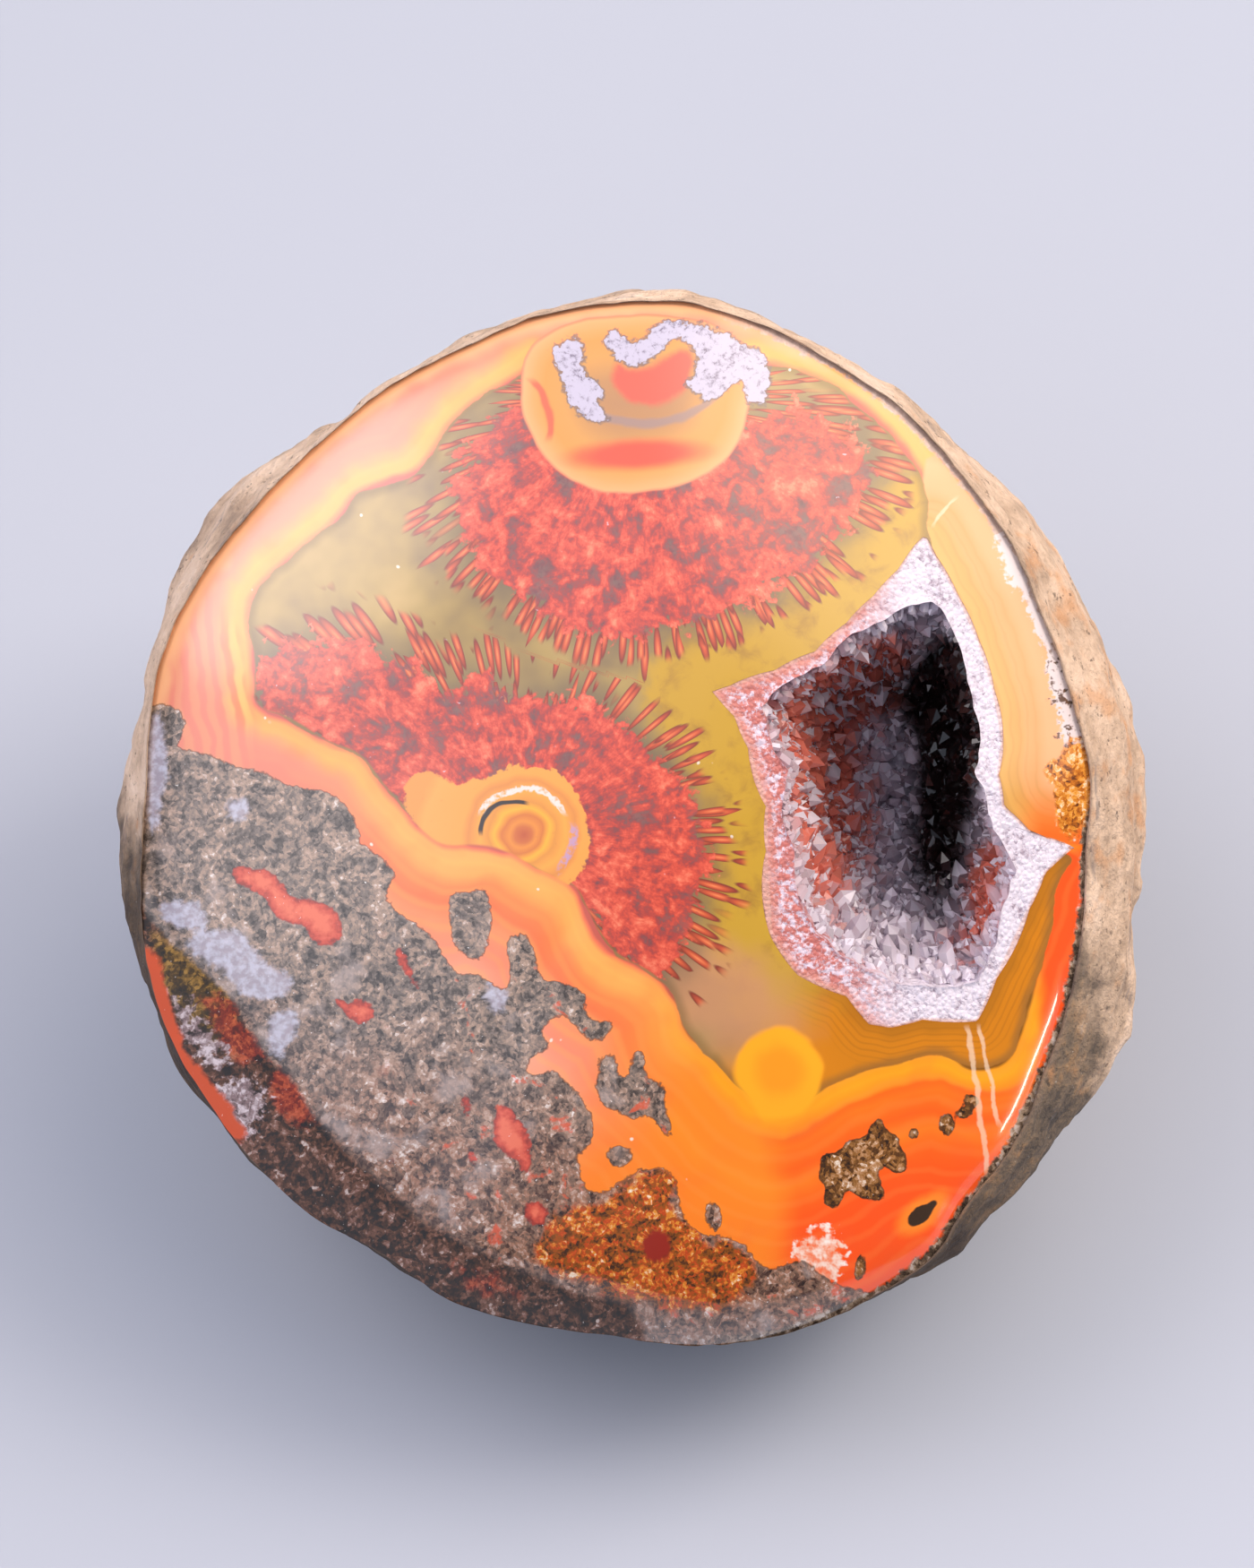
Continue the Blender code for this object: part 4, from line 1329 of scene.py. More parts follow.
class FaceLayer(Painter):
    """Layers of the polished face's pattern. Each method lays one layer over a colour.

    Every texture reads the same gently wandering place, so the trees stay shallow.
    """

    def __init__(self, tree, given, look):
        super().__init__(tree)
        self.look = look
        self.near = given["Place"]
        self.x, self.y, _ = self.parts(self.near)
        self.cloud, self.broad, self.coarse, self.clumps, self.fine = (
            given[name] for name in NOISES)

    def about(self, pixel):
        """The place's two parts as seen from a picture point, in millimetres."""
        middle_x, middle_y = (float(part) for part in pattern_place(pixel))
        return self.x - middle_x, self.y - middle_y

    def frayed(self, name, coarse=0.0, fine=0.0):
        """Depth inside an outline, frayed by coarse and fine noise, in millimetres."""
        depth = self.read(name)
        if coarse:
            depth = self.math("MULTIPLY_ADD", self.coarse, coarse, depth)
        if fine:
            depth = self.math("MULTIPLY_ADD", self.fine, fine, depth)
        return depth

    def patch(self, colour, new, name, soft=0.15, coarse=0.0, fine=0.0, strength=1.0):
        """Another colour inside an outline."""
        mask = self.step(self.frayed(name, coarse, fine), -soft, soft)
        return self.over(colour, new, mask if strength == 1.0 else mask * strength)

    def grains(self):
        """Mineral grains on the face: their tone and their glint."""
        tone = self.group("mineral grains", {"Place": self.near, "Grain Size": 0.85})
        return tone, tone.other(2)

    def ribbon(self, under):
        """Orange agate outside the clear one: soft bands that run along its edge."""
        out = self.broad * 0.45 + self.cloud * 0.4 - self.read("clear")
        place = out * (1.0 / 12.0)
        # The pale palette of the upper left is partly the agate's own colour and partly a painted veil
        # of reflected light; the vivid one of the lower right has no veil
        pale = self.palette(place, (
            (0.0, 196, 92, 76), (0.025, 240, 120, 80), (0.06, 252, 166, 84), (0.13, 255, 174, 84),
            (0.24, 255, 158, 76), (0.33, 252, 130, 66), (0.45, 250, 120, 64), (0.60, 250, 146, 92),
            (0.80, 248, 140, 104), (1.0, 248, 160, 122),
        ))
        vivid = self.palette(place, (
            (0.0, 132, 82, 10), (0.025, 246, 156, 16), (0.09, 255, 162, 22), (0.17, 255, 142, 20),
            (0.21, 244, 104, 12), (0.27, 255, 116, 18), (0.42, 255, 98, 14), (0.54, 255, 122, 24),
            (0.66, 255, 100, 14), (0.80, 255, 88, 12), (1.0, 252, 84, 14),
        ))
        middle = self.step(self.x + self.cloud * 1.5, 16.0, 12.0)
        vivid = self.over(vivid, tint(255, 148, 34), middle * self.step(place, 0.05, 0.2) * 0.7)
        rim_side = self.step(self.x + self.coarse * 0.3, 37.6, 39.4) * self.step(self.y, -5.0, -7.0)
        vivid = self.over(vivid, tint(255, 84, 16), rim_side)
        # Vivid at the lower right; pale, with its painted veil, elsewhere
        low_right = self.step(self.x * 0.62 - self.y * 0.78 + self.cloud * 2.0, 13.0, 28.0)
        colour = self.over(pale, vivid, low_right)
        stripe = self.math("SINE", out * 3.4 + self.cloud * 2.2 + self.coarse * 0.5)
        stripe = self.step(stripe, -0.2, 1.3) * (0.24 - low_right * 0.14)
        colour = self.over(colour, self.look.ribbon_yellow, stripe)
        return self.over(colour, self.look.ribbon_red, self.step(self.broad, -0.1, 0.9) * 0.22)

    def fan(self, under):
        """Upright yellow and orange stripes at the far left, where the ribbon fans out."""
        across = self.x * 4.4 + self.y * 0.6 + self.coarse * 1.4 + self.cloud * 2.0
        stripe = self.step(self.math("SINE", across), -0.6, 0.8)
        made = self.over(tint(254, 184, 92), tint(246, 124, 72), stripe)
        return self.patch(under, made, "fan", soft=1.2, coarse=0.6, strength=0.85)

    def peach_edge(self, under):
        """The ribbon's pink and peach part at the upper left and along the top: partly its own colour
        and partly a painted veil of reflected light, palest near the rim.
        """
        upper = self.step(self.y * 0.8 - self.x * 0.6 + self.cloud * 2.0, 4.0, 24.0)
        outside = self.step(self.read("clear") + self.coarse * 0.5, -1.0, -3.4)
        # Partly painted reflection: the pink of the upper left
        colour = self.over(under, tint(226, 136, 116), upper * outside * 0.75)
        # Painted reflection: a pale veil near the rim at the top
        veil_near_rim = self.step(self.read("rim") + self.coarse * 0.4, 1.8, 0.3)
        return self.over(colour, tint(248, 184, 130), upper * veil_near_rim * 0.8)

    def right_band(self, under):
        """The band between the hollow and the rind: olive stripes inside, peach outside."""
        across = self.frayed("mouth", coarse=0.25)
        made = self.palette(across * 0.1, (
            (0.0, 196, 146, 78), (0.03, 220, 166, 84), (0.16, 214, 156, 78), (0.24, 230, 160, 94),
            (0.34, 218, 154, 88), (0.42, 242, 164, 108), (0.66, 246, 172, 120),
            (0.85, 246, 154, 102), (1.0, 246, 178, 128),
        ))
        stripes = self.step(self.math("SINE", across * 8.0 + self.coarse * 1.2), 0.1, 1.2)
        zone = self.step(across, 4.5, 2.5) * stripes
        made = self.over(made, tint(186, 132, 62), zone * 0.28)
        low = self.step(self.y, 0.5, -5.0) * self.step(self.x, 35.0, 39.0)
        made = self.over(made, tint(246, 108, 26), low)
        return self.patch(under, made, "band", soft=0.25, coarse=0.2)

    def clear(self, under):
        """Olive agate with a mist of grey and, round the hollow, of yellow."""
        made = self.palette(self.broad * 0.45 + self.cloud * 0.2 + 0.5, (
            (0.1, 128, 106, 76), (0.4, 158, 132, 80), (0.62, 174, 146, 84), (0.9, 192, 160, 96),
        ))
        mouth = self.frayed("mouth", coarse=0.5)
        thin = self.step(self.math("SINE", mouth * 11.0 - self.coarse * 4.0), 0.0, 1.2)
        thin = thin * self.step(mouth, 4.2, 2.4)
        yellow = self.over(tint(196, 154, 50), tint(166, 124, 50),
                           self.step(self.clumps * 0.7 + self.coarse * 0.5, -0.1, 0.8))
        made = self.over(made, yellow, self.step(mouth + self.clumps * 1.2, 7.6, 5.0))
        low = self.step(self.x * 0.6 - self.y * 0.8 + self.coarse, 22.0, 30.0)
        olive = self.over(tint(208, 126, 8), tint(158, 92, 6), thin * 0.35)
        olive = self.lay(olive, (160, 100, 8), mouth, 1.8, 0.2, 0.6)
        made = self.over(made, olive, low)
        made = self.patch(made, tint(198, 142, 100), "amber", soft=2.4, coarse=0.8, strength=0.85)
        edge = self.frayed("clear", coarse=0.3)
        made = self.lay(made, (112, 86, 46), edge, 1.1, 0.1, 0.55)
        mask = self.step(edge + self.fine * 0.08, -0.1, 0.1)
        colour = self.over(under, made, mask)
        lobe = self.frayed("lobe", coarse=0.4)
        colour = self.lay(colour, (252, 170, 28), lobe, -0.5, 0.25)
        return self.lay(colour, (255, 148, 22), lobe, 0.8, 2.6, 0.8)

    def flecks(self, under):
        """Tiny pale flecks all over the clear agate."""
        distance, _, other = self.cells(self.near, 2.3)
        fleck = self.step(distance + self.fine * 0.03, 0.09, 0.04)
        mask = fleck * self.step(other, 0.5, 0.55)
        return self.over(under, tint(244, 232, 214), mask * 0.85)

    def plume(self, under):
        """Red moss: clumps and threads in a grey mist, with rods round its edge, each painted light
        along its middle and dark at its sides.
        """
        depth = self.frayed("plume", coarse=1.0)
        fibre = self.read("fibre", "Vector")
        made = self.lay(under, (116, 98, 78), depth, -3.8, 0.8, 0.8)
        rods = made
        for number, reach in enumerate(((-4.6, -3.4), (-2.8, -1.8))):
            shifted = self.vector(*(part + 37.0 * number for part in self.parts(fibre)[:2]), 0.0)
            place = self.scaled(shifted, (1.3, 0.155, 0.0))
            distance, _, other = self.cells(place, 1.0, 0.9, True)
            # Painted shade: each rod runs from light in its middle to dark at its edges, so that it
            # looks round
            shaded_rod = self.palette(distance * 2.4, (
                (0.0, 236, 136, 84), (0.4, 206, 92, 58), (0.8, 140, 62, 46), (1.0, 112, 76, 56),
            ))
            mask = self.step(distance, 0.42, 0.34) * self.step(other, 0.35, 0.42)
            mask = mask * self.step(depth + other * 1.5 - 0.75, *reach)
            rods = self.over(rods, shaded_rod, mask)
        threads = self.noise(self.scaled(fibre, (1.0, 0.4, 0.0)), 0.85, detail=4.0, rough=0.7)
        body = self.clumps * 0.9 + threads * 0.5 + self.fine * 0.45
        moss = self.palette(body * 0.55 - self.broad * 0.3 + 0.5, (
            (0.02, 92, 62, 64), (0.22, 134, 74, 72), (0.38, 170, 72, 64), (0.54, 206, 80, 62),
            (0.70, 226, 98, 74), (0.95, 238, 138, 104),
        ))
        gaps = self.step(self.broad * 0.9 - self.clumps * 0.6 - threads * 0.3, 0.1, 0.6)
        mist = self.over(tint(140, 104, 94), tint(112, 78, 78), self.step(self.fine, -0.5, 0.5))
        moss = self.over(moss, mist, gaps * 0.7)
        glint = self.step(self.fine, 0.62, 0.78) * self.step(self.clumps, 0.15, -0.2)
        moss = self.over(moss, tint(206, 196, 208), glint * 0.7)
        moss = self.over(rods, moss, self.step(depth + body * 2.0, -0.4, 0.3))
        return self.over(under, moss, self.step(self.read("clear"), 0.0, 0.3))

    def top_eye(self, under):
        """The eye at the top: a peach disc with a red lens, a salmon kidney and white crusts."""
        depth = self.frayed("top_eye", coarse=0.15)
        disc = self.palette(depth * 0.1, (
            (0.0, 216, 126, 92), (0.03, 248, 168, 108), (0.12, 246, 158, 88), (0.22, 232, 150, 70),
            (0.38, 214, 152, 76), (0.6, 188, 136, 84), (1.0, 176, 128, 88),
        ))
        disc = self.patch(disc, tint(226, 84, 56), "lens", soft=0.55, coarse=0.1)
        x, y = self.about((612, 458))
        bow = abs(self.math("MULTIPLY_ADD", y * 0.10, y, x) + y * 0.30)
        streak = self.step(bow, 0.55, 0.15) * self.step(abs(y), 3.2, 2.2)
        disc = self.over(disc, tint(220, 90, 66), streak * 0.85)
        x, y = self.about((718, 474))
        bow = abs(self.math("MULTIPLY_ADD", x * -0.054, x, y))
        arc = self.step(bow, 0.6, 0.15) * self.step(abs(x - 1.2), 6.4, 4.8)
        disc = self.over(disc, tint(156, 130, 124), arc * 0.8)
        disc = self.patch(disc, tint(216, 94, 70), "kidney", soft=0.5, coarse=0.3, fine=0.15)
        colour = self.over(under, disc, self.step(depth, -0.12, 0.12))
        crust = self.frayed("white", coarse=0.25, fine=0.5)
        colour = self.lay(colour, (118, 100, 94), crust, -0.35, -0.02, 0.85)
        sugar = self.group("sugary quartz", {
            "Place": self.near, "Light": tint(196, 188, 206), "Shade": tint(108, 94, 112),
        })
        return self.over(colour, sugar, self.step(crust, -0.05, 0.12))

    def middle_eye(self, under):
        """The eye left of the middle: yellow rings, a dark crescent and a white arc."""
        x, y = self.about((583, 930))
        radius = self.math("SQRT", self.math("MULTIPLY_ADD", x, x, y * y))
        made = self.palette((radius + self.coarse * 0.3) * 0.1, (
            (0.0, 190, 92, 50), (0.08, 206, 112, 56), (0.13, 230, 144, 58), (0.19, 212, 120, 54),
            (0.25, 248, 176, 56), (0.31, 222, 146, 62), (0.40, 242, 166, 70), (0.50, 222, 142, 70),
            (0.56, 240, 162, 74), (0.9, 238, 166, 80), (1.0, 232, 154, 74),
        ))
        grit = self.step(self.fine * 0.7 + self.clumps * 0.4, 0.3, 0.9)
        made = self.over(made, tint(200, 126, 62), grit * 0.6)
        above = self.step(y, -0.4, 0.4)
        bow = abs(radius + x * 0.2 - 3.05)
        crescent = self.step(bow, 0.24, 0.12) * above * self.step(x, 0.9, 0.2)
        made = self.over(made, tint(58, 48, 42), crescent)
        ring = abs(radius - 4.2) + self.fine * 0.25
        arc = self.step(ring, 0.34, 0.2) * self.step(y, 1.4, 2.4)
        broken = self.step(self.fine + self.coarse * 0.3, -0.5, 0.1)
        made = self.over(made, tint(244, 228, 222), arc * broken * 0.9)
        ring = abs(radius - 4.8) + self.fine * 0.35
        violet = self.step(ring, 0.5, 0.25) * self.step(x, 2.9, 3.7) * self.step(y, 1.2, 0.4)
        made = self.over(made, tint(190, 156, 196), violet * broken * 0.85)
        mask = self.step(self.frayed("middle_eye", coarse=0.5, fine=0.4), -0.14, 0.14)
        return self.over(under, made, mask * self.step(self.read("clear"), -0.4, 0.0))

    def crystals(self, under):
        """Clear brown crystals and small hollows in the orange, each with a dark edge; the hollows'
        dark fill is painted shade.
        """
        depth = self.frayed("crystals", fine=0.14)
        tone, glint = self.grains()
        made = self.palette(tone, (
            (0.20, 36, 20, 6), (0.40, 96, 58, 18), (0.54, 150, 100, 46), (0.70, 190, 142, 100),
            (0.86, 248, 234, 216),
        ))
        made = self.over(made, tint(250, 246, 238), glint)
        made = self.lay(made, (66, 38, 14), depth, 0.32, 0.02, 0.8)
        colour = self.over(under, made, self.step(depth, -0.07, 0.07))
        hole = self.frayed("hole", fine=0.06)
        colour = self.lay(colour, (252, 156, 44), hole, -1.1, -0.1, 0.6)
        # Painted shade: the hollows are not sunk into the face, and their dark fill stands in for the
        # shade inside them
        return self.lay(colour, (58, 38, 18), hole, -0.08, 0.06)

    def cracks(self, under):
        """Healed white cracks that cross the face nearly upright."""
        colour = under
        for pixel, slope, width, reach in (
            ((1092, 1230), -0.15, 0.34, 7.2), ((1104, 1200), -0.20, 0.28, 4.8),
            ((1056, 572), 0.80, 0.26, 1.7),
        ):
            x, y = self.about(pixel)
            off = self.math("MULTIPLY_ADD", y, -slope, x) + self.coarse * 0.25
            line = self.step(abs(off) + self.fine * 0.12, width, width * 0.4)
            window = self.step(abs(y), reach, reach - 1.0)
            colour = self.over(colour, tint(246, 214, 180), line * window * 0.6)
        broken = self.palette(self.fine * 0.5 + self.clumps * 0.2 + 0.5, (
            (0.15, 250, 96, 40), (0.4, 246, 150, 112), (0.6, 250, 206, 184), (0.85, 255, 238, 226),
        ))
        return self.patch(colour, broken, "broken", soft=0.3, coarse=0.6, fine=1.2)

    def matrix(self, under):
        """Dull matrix: grey and brown grains with white specks and painted white glints, red blobs and
        golden moss.
        """
        depth = self.frayed("matrix", coarse=0.25, fine=0.28)
        tone, glint = self.grains()
        grain = tone * 0.85 + self.clumps * 0.2 + self.fine * 0.12 + 0.08
        grey = self.palette(grain, (
            (0.12, 36, 30, 26), (0.32, 82, 72, 64), (0.48, 124, 110, 100), (0.60, 158, 134, 116),
            (0.74, 190, 160, 140), (0.90, 236, 228, 222),
        ))
        brown = self.palette(grain, (
            (0.12, 28, 18, 14), (0.32, 82, 54, 42), (0.46, 124, 96, 78), (0.58, 160, 112, 86),
            (0.72, 188, 156, 138), (0.88, 242, 232, 226),
        ))
        low = self.step(self.x * 0.25 + self.y + (self.cloud + self.coarse) * 3.0, -24.0, -42.0)
        made = self.over(grey, brown, low)
        freckled = self.step(self.x * -0.3 - self.y + self.cloud * 3.0, 12.0, 26.0)
        pale = self.step(self.broad + self.clumps * 0.5, 0.1, 0.7) * freckled
        made = self.over(made, tint(178, 162, 156), pale * 0.55)
        haze = self.over(tint(170, 160, 170), tint(200, 198, 212), self.step(self.fine, -0.4, 0.5))
        # Lavender patches; the one along the left rim is partly a painted bluish sheen
        made = self.patch(made, haze, "lavender", soft=0.4, coarse=0.5, fine=0.4, strength=0.9)
        blobs = self.frayed("blobs", coarse=0.35, fine=0.3)
        flesh = self.palette(blobs * 0.6 + self.fine * 0.2 + self.clumps * 0.1, (
            (0.0, 150, 46, 30), (0.25, 206, 76, 52), (0.6, 232, 112, 80),
        ))
        made = self.over(made, flesh, self.step(blobs, -0.12, 0.12))
        made = self.over(made, tint(250, 246, 242), glint)
        veins = self.step(self.clumps - self.broad * 0.6 + self.fine * 0.2, 0.42, 0.72)
        warm = self.step(self.y, -6.0, -20.0) * self.step(self.x, -24.0, -18.0)
        made = self.over(made, tint(214, 86, 50), veins * warm * 0.85)
        moss = self.palette(grain * 0.9 + 0.06, (
            (0.12, 22, 12, 4), (0.32, 80, 42, 8), (0.46, 150, 82, 12), (0.56, 196, 66, 16),
            (0.70, 226, 148, 44), (0.88, 250, 232, 206),
        ))
        made = self.patch(made, moss, "gold", soft=0.6, coarse=1.0, fine=0.6)
        made = self.patch(made, tint(150, 36, 14), "dot", soft=0.3, fine=0.3)
        outline = self.step(depth, -0.16, 0.0) * self.step(depth, 0.34, 0.04)
        colour = self.over(under, tint(88, 62, 40), outline * 0.8)
        return self.over(colour, made, self.step(depth, -0.05, 0.10))

    def lip(self, under):
        """The dark lip past the shoulder, with gold, red and pale crystals in it."""
        tone, glint = self.grains()
        grain = tone + self.clumps * 0.2 + self.fine * 0.14
        dark = self.palette(grain, (
            (0.10, 12, 8, 6), (0.34, 38, 24, 14), (0.50, 78, 46, 26), (0.64, 118, 76, 54),
            (0.76, 150, 106, 88), (0.92, 216, 196, 184),
        ))
        for name, stops, soft, coarse, fine in (
            ("lip_gold", ((0.15, 30, 20, 6), (0.45, 84, 60, 10), (0.75, 176, 132, 50)), 0.8, 0.8, 0.5),
            ("lip_red", ((0.15, 50, 12, 6), (0.45, 140, 34, 12), (0.75, 206, 92, 50)), 0.6, 1.0, 0.8),
            ("lip_pale", ((0.15, 60, 44, 42), (0.45, 160, 132, 130), (0.75, 236, 220, 220)),
             0.3, 0.8, 1.3),
        ):
            dark = self.patch(dark, self.palette(grain, stops), name, soft, coarse, fine, 0.9)
        dark = self.patch(dark, tint(224, 84, 30), "strip", soft=0.3, coarse=0.5, fine=0.3)
        dark = self.over(dark, tint(244, 230, 218), glint)
        return self.patch(under, dark, "lip", soft=0.35, coarse=0.5, fine=0.3)

    def edge(self, under):
        """The worn edge: grey, brown and white specks where the rind begins."""
        depth = self.frayed("rim", coarse=0.3, fine=0.4)
        tone, _ = self.grains()
        made = self.palette(tone, (
            (0.2, 36, 30, 26), (0.42, 104, 86, 70), (0.6, 172, 148, 124), (0.85, 226, 214, 206),
        ))
        made = self.lay(made, (226, 200, 190), self.y, 8.0, 18.0, 0.65)
        right = self.step(self.x + self.cloud * 2.0, 4.0, 16.0)
        colour = self.over(under, made, self.step(depth, 0.7, 0.35) * right)
        dark = self.step(self.fine + self.coarse * 0.4, 0.1, 0.5) * self.step(self.y, 15.0, 11.0)
        salt = self.over(tint(222, 212, 214), tint(58, 46, 42), dark)
        colour = self.patch(colour, salt, "druse", soft=0.25, coarse=0.5, fine=1.0, strength=0.9)
        moss = self.palette(tone, (
            (0.2, 84, 40, 6), (0.42, 190, 104, 14), (0.6, 232, 156, 54), (0.85, 252, 236, 206),
        ))
        return self.patch(colour, moss, "honey", soft=0.2, fine=0.4)


def noise_group():
    """The noises that every layer of the face shares, read at a gently wandering place."""
    paint, _ = shader_group("face noises", {})
    plan = paint.read("plan", "Vector")
    x, y, _ = paint.parts(plan)
    near = paint.vector(*paint.wandering(x, y, plan, 4.0, 1.1))
    noises = {name: paint.noise(near, *settings) for name, settings in NOISES.items()}
    paint.put_out(Place=near, **noises)


def layer_group(name, look):
    """One layer of the face's pattern, laid over the colour that is given."""
    inputs = {"Under": (0.9, 0.5, 0.2, 1.0), "Place": None, **dict.fromkeys(NOISES, 0.0)}
    paint, given = shader_group("face " + name, inputs)
    layer = FaceLayer(paint.tree, given, look)
    layer.put_out(Color=getattr(layer, name)(given["Under"]))


def face_material(name, layers, look):
    """Polished agate with some of the pattern's layers under a clear gloss."""
    material, paint, shader = new_material(name, IOR=1.54, Coat_Roughness=0.02, Coat_IOR=1.5)
    place = paint.group("face noises", {})
    given = {"Place": place, **{name: place.other(name) for name in NOISES}}
    for layer in layers:
        given["Under"] = paint.group("face " + layer, given)
    paint.feed(shader.inputs["Base Color"], given["Under"])
    dull = paint.step(paint.read("lip"), -1.0, 0.6)
    paint.feed(shader.inputs["Coat Weight"], 1.0 - dull)
    paint.feed(shader.inputs["Roughness"], paint.blend(look.polish, 0.55, dull))
    return material


def rind_material(look):
    """Rough rind: tan above, grey and brown below, in layers that run round the stone. The grey below
    is partly painted shade, and the dark brown at the low front is painted shade.
    """
    material, paint, shader = new_material("rough_rind", IOR=1.5, Specular_IOR_Level=0.35)
    where = object_place(paint)
    plan = paint.read("plan", "Vector")
    x, y, depth = paint.parts(plan)
    layered = paint.scaled(plan, (0.16, 0.16, 1.0))
    layers = paint.noise(layered, 2.2, detail=4.0, rough=0.65)
    patch = paint.noise(where, 7.0, detail=4.0, rough=0.6)
    grit = paint.noise(where, 0.8, detail=3.0, rough=0.65)
    tan = paint.palette(patch * 0.32 + layers * 0.22 + grit * 0.12 + 0.5, (
        (0.1, 124, 106, 94), (0.34, 184, 156, 132), (0.55, 220, 190, 164), (0.75, 232, 206, 184),
        (0.95, 242, 224, 210),
    ))
    grey = paint.palette(patch * 0.30 + layers * 0.35 + grit * 0.15 + 0.5, (
        (0.1, 44, 38, 36), (0.35, 88, 78, 70), (0.55, 124, 106, 88), (0.72, 154, 122, 90),
        (0.95, 190, 170, 150),
    ))
    right = paint.step(x, 24.0, 40.0)
    # Grey below: partly the rind's own colour and partly painted shade of its lower side
    low = paint.step(y + x * 0.12 + patch * 9.0 + right * depth * 1.2, -2.0, -16.0)
    colour = paint.over(tan, grey, low)
    tanned = right * paint.step(y, -18.0, -6.0)
    ochre = paint.step(paint.noise(where, 3.4, detail=3.0) + tanned * 0.35, 0.3, 0.9)
    colour = paint.over(colour, tint(206, 144, 92), ochre * 0.55)
    slate = paint.step(layers - patch * 0.5 + grit * 0.3, 0.35, 0.8)
    colour = paint.over(colour, tint(104, 100, 104), slate * 0.6)
    # Painted shade: dark brown at the low front, where the stone's underside faces the floor
    front = paint.step(y + x * 0.4 + patch * 5.0, -16.0, -34.0)
    colour = paint.over(colour, tint(58, 44, 36), front * 0.7)
    grains = paint.group("mineral grains", {"Place": where, "Grain Size": 0.9})
    colour = paint.lay(colour, (46, 40, 38), grains, 0.30, 0.16, 0.6)
    # Painted glints: pale specks where the grains glint
    colour = paint.over(colour, tint(232, 222, 210), grains.other(2) * 0.55)
    edge = paint.step(depth, 0.7, 0.15)
    colour = paint.over(colour, tint(150, 124, 104), edge * 0.35)
    paint.feed(shader.inputs["Base Color"], colour)
    paint.feed(shader.inputs["Roughness"], paint.blend(0.72, 0.9, paint.step(grit, -0.5, 0.5)))
    height = grains.other(1) * 0.45 + grit * 0.5 + layers * 0.6
    bump = paint.add("ShaderNodeBump", {"Strength": 0.7, "Distance": 0.0004, "Height": height})
    paint.feed(shader.inputs["Normal"], bump)
    return material


def crust_material(look):
    """Sugary quartz of the crust and its cut edge."""
    material, paint, shader = new_material("sugary_quartz", IOR=1.55, Coat_Weight=0.3,
                                           Coat_Roughness=0.15)
    where = object_place(paint)
    tones = {"Light": look.quartz_white, "Shade": look.quartz_lilac}
    sugar = paint.group("sugary quartz", {"Place": where, **tones})
    deep = paint.read("deep")
    tone = paint.step(paint.noise(where, 1.2, detail=2.0), -0.6, 0.6)
    inner = paint.group("hollow quartz", {"Tone": tone, **tones})
    colour = paint.over(sugar, inner, paint.step(deep, 0.6, 3.0))
    edge = paint.read("edge")
    left = paint.step(paint.parts(where)[0], 26.5, 18.0)
    wave = paint.noise(where, 1.6, detail=2.0)
    salt = paint.step(paint.noise(where, 0.7, detail=3.0, rough=0.7) + wave * 0.3, -0.15, 0.35)
    pink = paint.over(tint(196, 112, 104), tint(224, 206, 220), salt)
    colour = paint.over(colour, pink, left * paint.step(deep, 7.0, 3.0))
    blush = paint.step(edge + wave * 0.35, -1.3, -0.2) * left
    colour = paint.over(colour, tint(208, 136, 122), blush * 0.8)
    rim = paint.step(edge, -0.30, -0.05)
    colour = paint.over(colour, tint(214, 168, 150), rim * 0.6)
    paint.feed(shader.inputs["Base Color"], colour)
    shader.inputs["Roughness"].default_value = 0.3
    bump = paint.add("ShaderNodeBump", {"Strength": 0.6, "Distance": 0.0003,
                                        "Height": sugar.other(1)})
    paint.feed(shader.inputs["Normal"], bump)
    return material


def crystal_material(look):
    """Quartz crystals: partly see-through, with a tone of their own each, and painted light and shade
    that differs from face to face.
    """
    material, paint, shader = new_material("quartz_crystal", IOR=1.55, Transmission_Weight=0.25,
                                           Roughness=0.12)
    tone, facet, deep = paint.read("tone"), paint.read("facet"), paint.read("deep")
    # Each face's random value shifts it between light and shaded quartz: painted light and shade on the
    # facets
    colour = paint.group("hollow quartz", {
        "Tone": tone * 0.6 + facet * 0.4, "Light": look.quartz_white, "Shade": look.quartz_lilac,
    })
    # Crystals near the face turn white, but not in the hollow's painted shade
    shallow = paint.step(deep - tone * 5.0, 5.0, 1.5) * paint.step(paint.read("smoke"), 0.5, 0.2)
    colour = paint.over(colour, look.quartz_white, shallow * 0.8)
    # Painted shade: some faces darker at random
    colour = paint.lay(colour, (84, 54, 54), facet, 0.24, 0.1, 0.4)
    # Partly pale crystals and partly painted glints on some faces, none in the hollow's painted shade
    pale = paint.step(facet * 0.35 + tone * 0.65, 0.60, 0.66)
    pale = pale * paint.step(paint.read("smoke") - tone * 0.3, 0.6, 0.3)
    colour = paint.over(colour, tint(244, 234, 246), pale * 0.92)
    where = object_place(paint)
    streak = paint.noise(where, 0.6, detail=2.0)
    colour = paint.lay(colour, (236, 228, 236), streak, 0.4, 1.0, 0.25)
    paint.feed(shader.inputs["Base Color"], colour)
    return material


def floor_material(look):
    """A plain pale surface."""
    material, paint, shader = new_material("pale_table", Roughness=0.6)
    paint.feed(shader.inputs["Base Color"], look.floor_colour)
    return material


def colour_property(name, description, colour):
    """A colour that a user may change."""
    return FloatVectorProperty(name=name, description=description, subtype="COLOR", size=3,
                               min=0.0, max=1.0, default=colour)


def count_property(name, description, default, least=0):
    """A whole number that a user may change."""
    return IntProperty(name=name, description=description, default=default, min=least)


def size_property(name, description, default, least=0.0, precision=5):
    """A length that a user may change."""
    return FloatProperty(name=name, description=description, default=default, min=least,
                         unit="LENGTH", precision=precision)


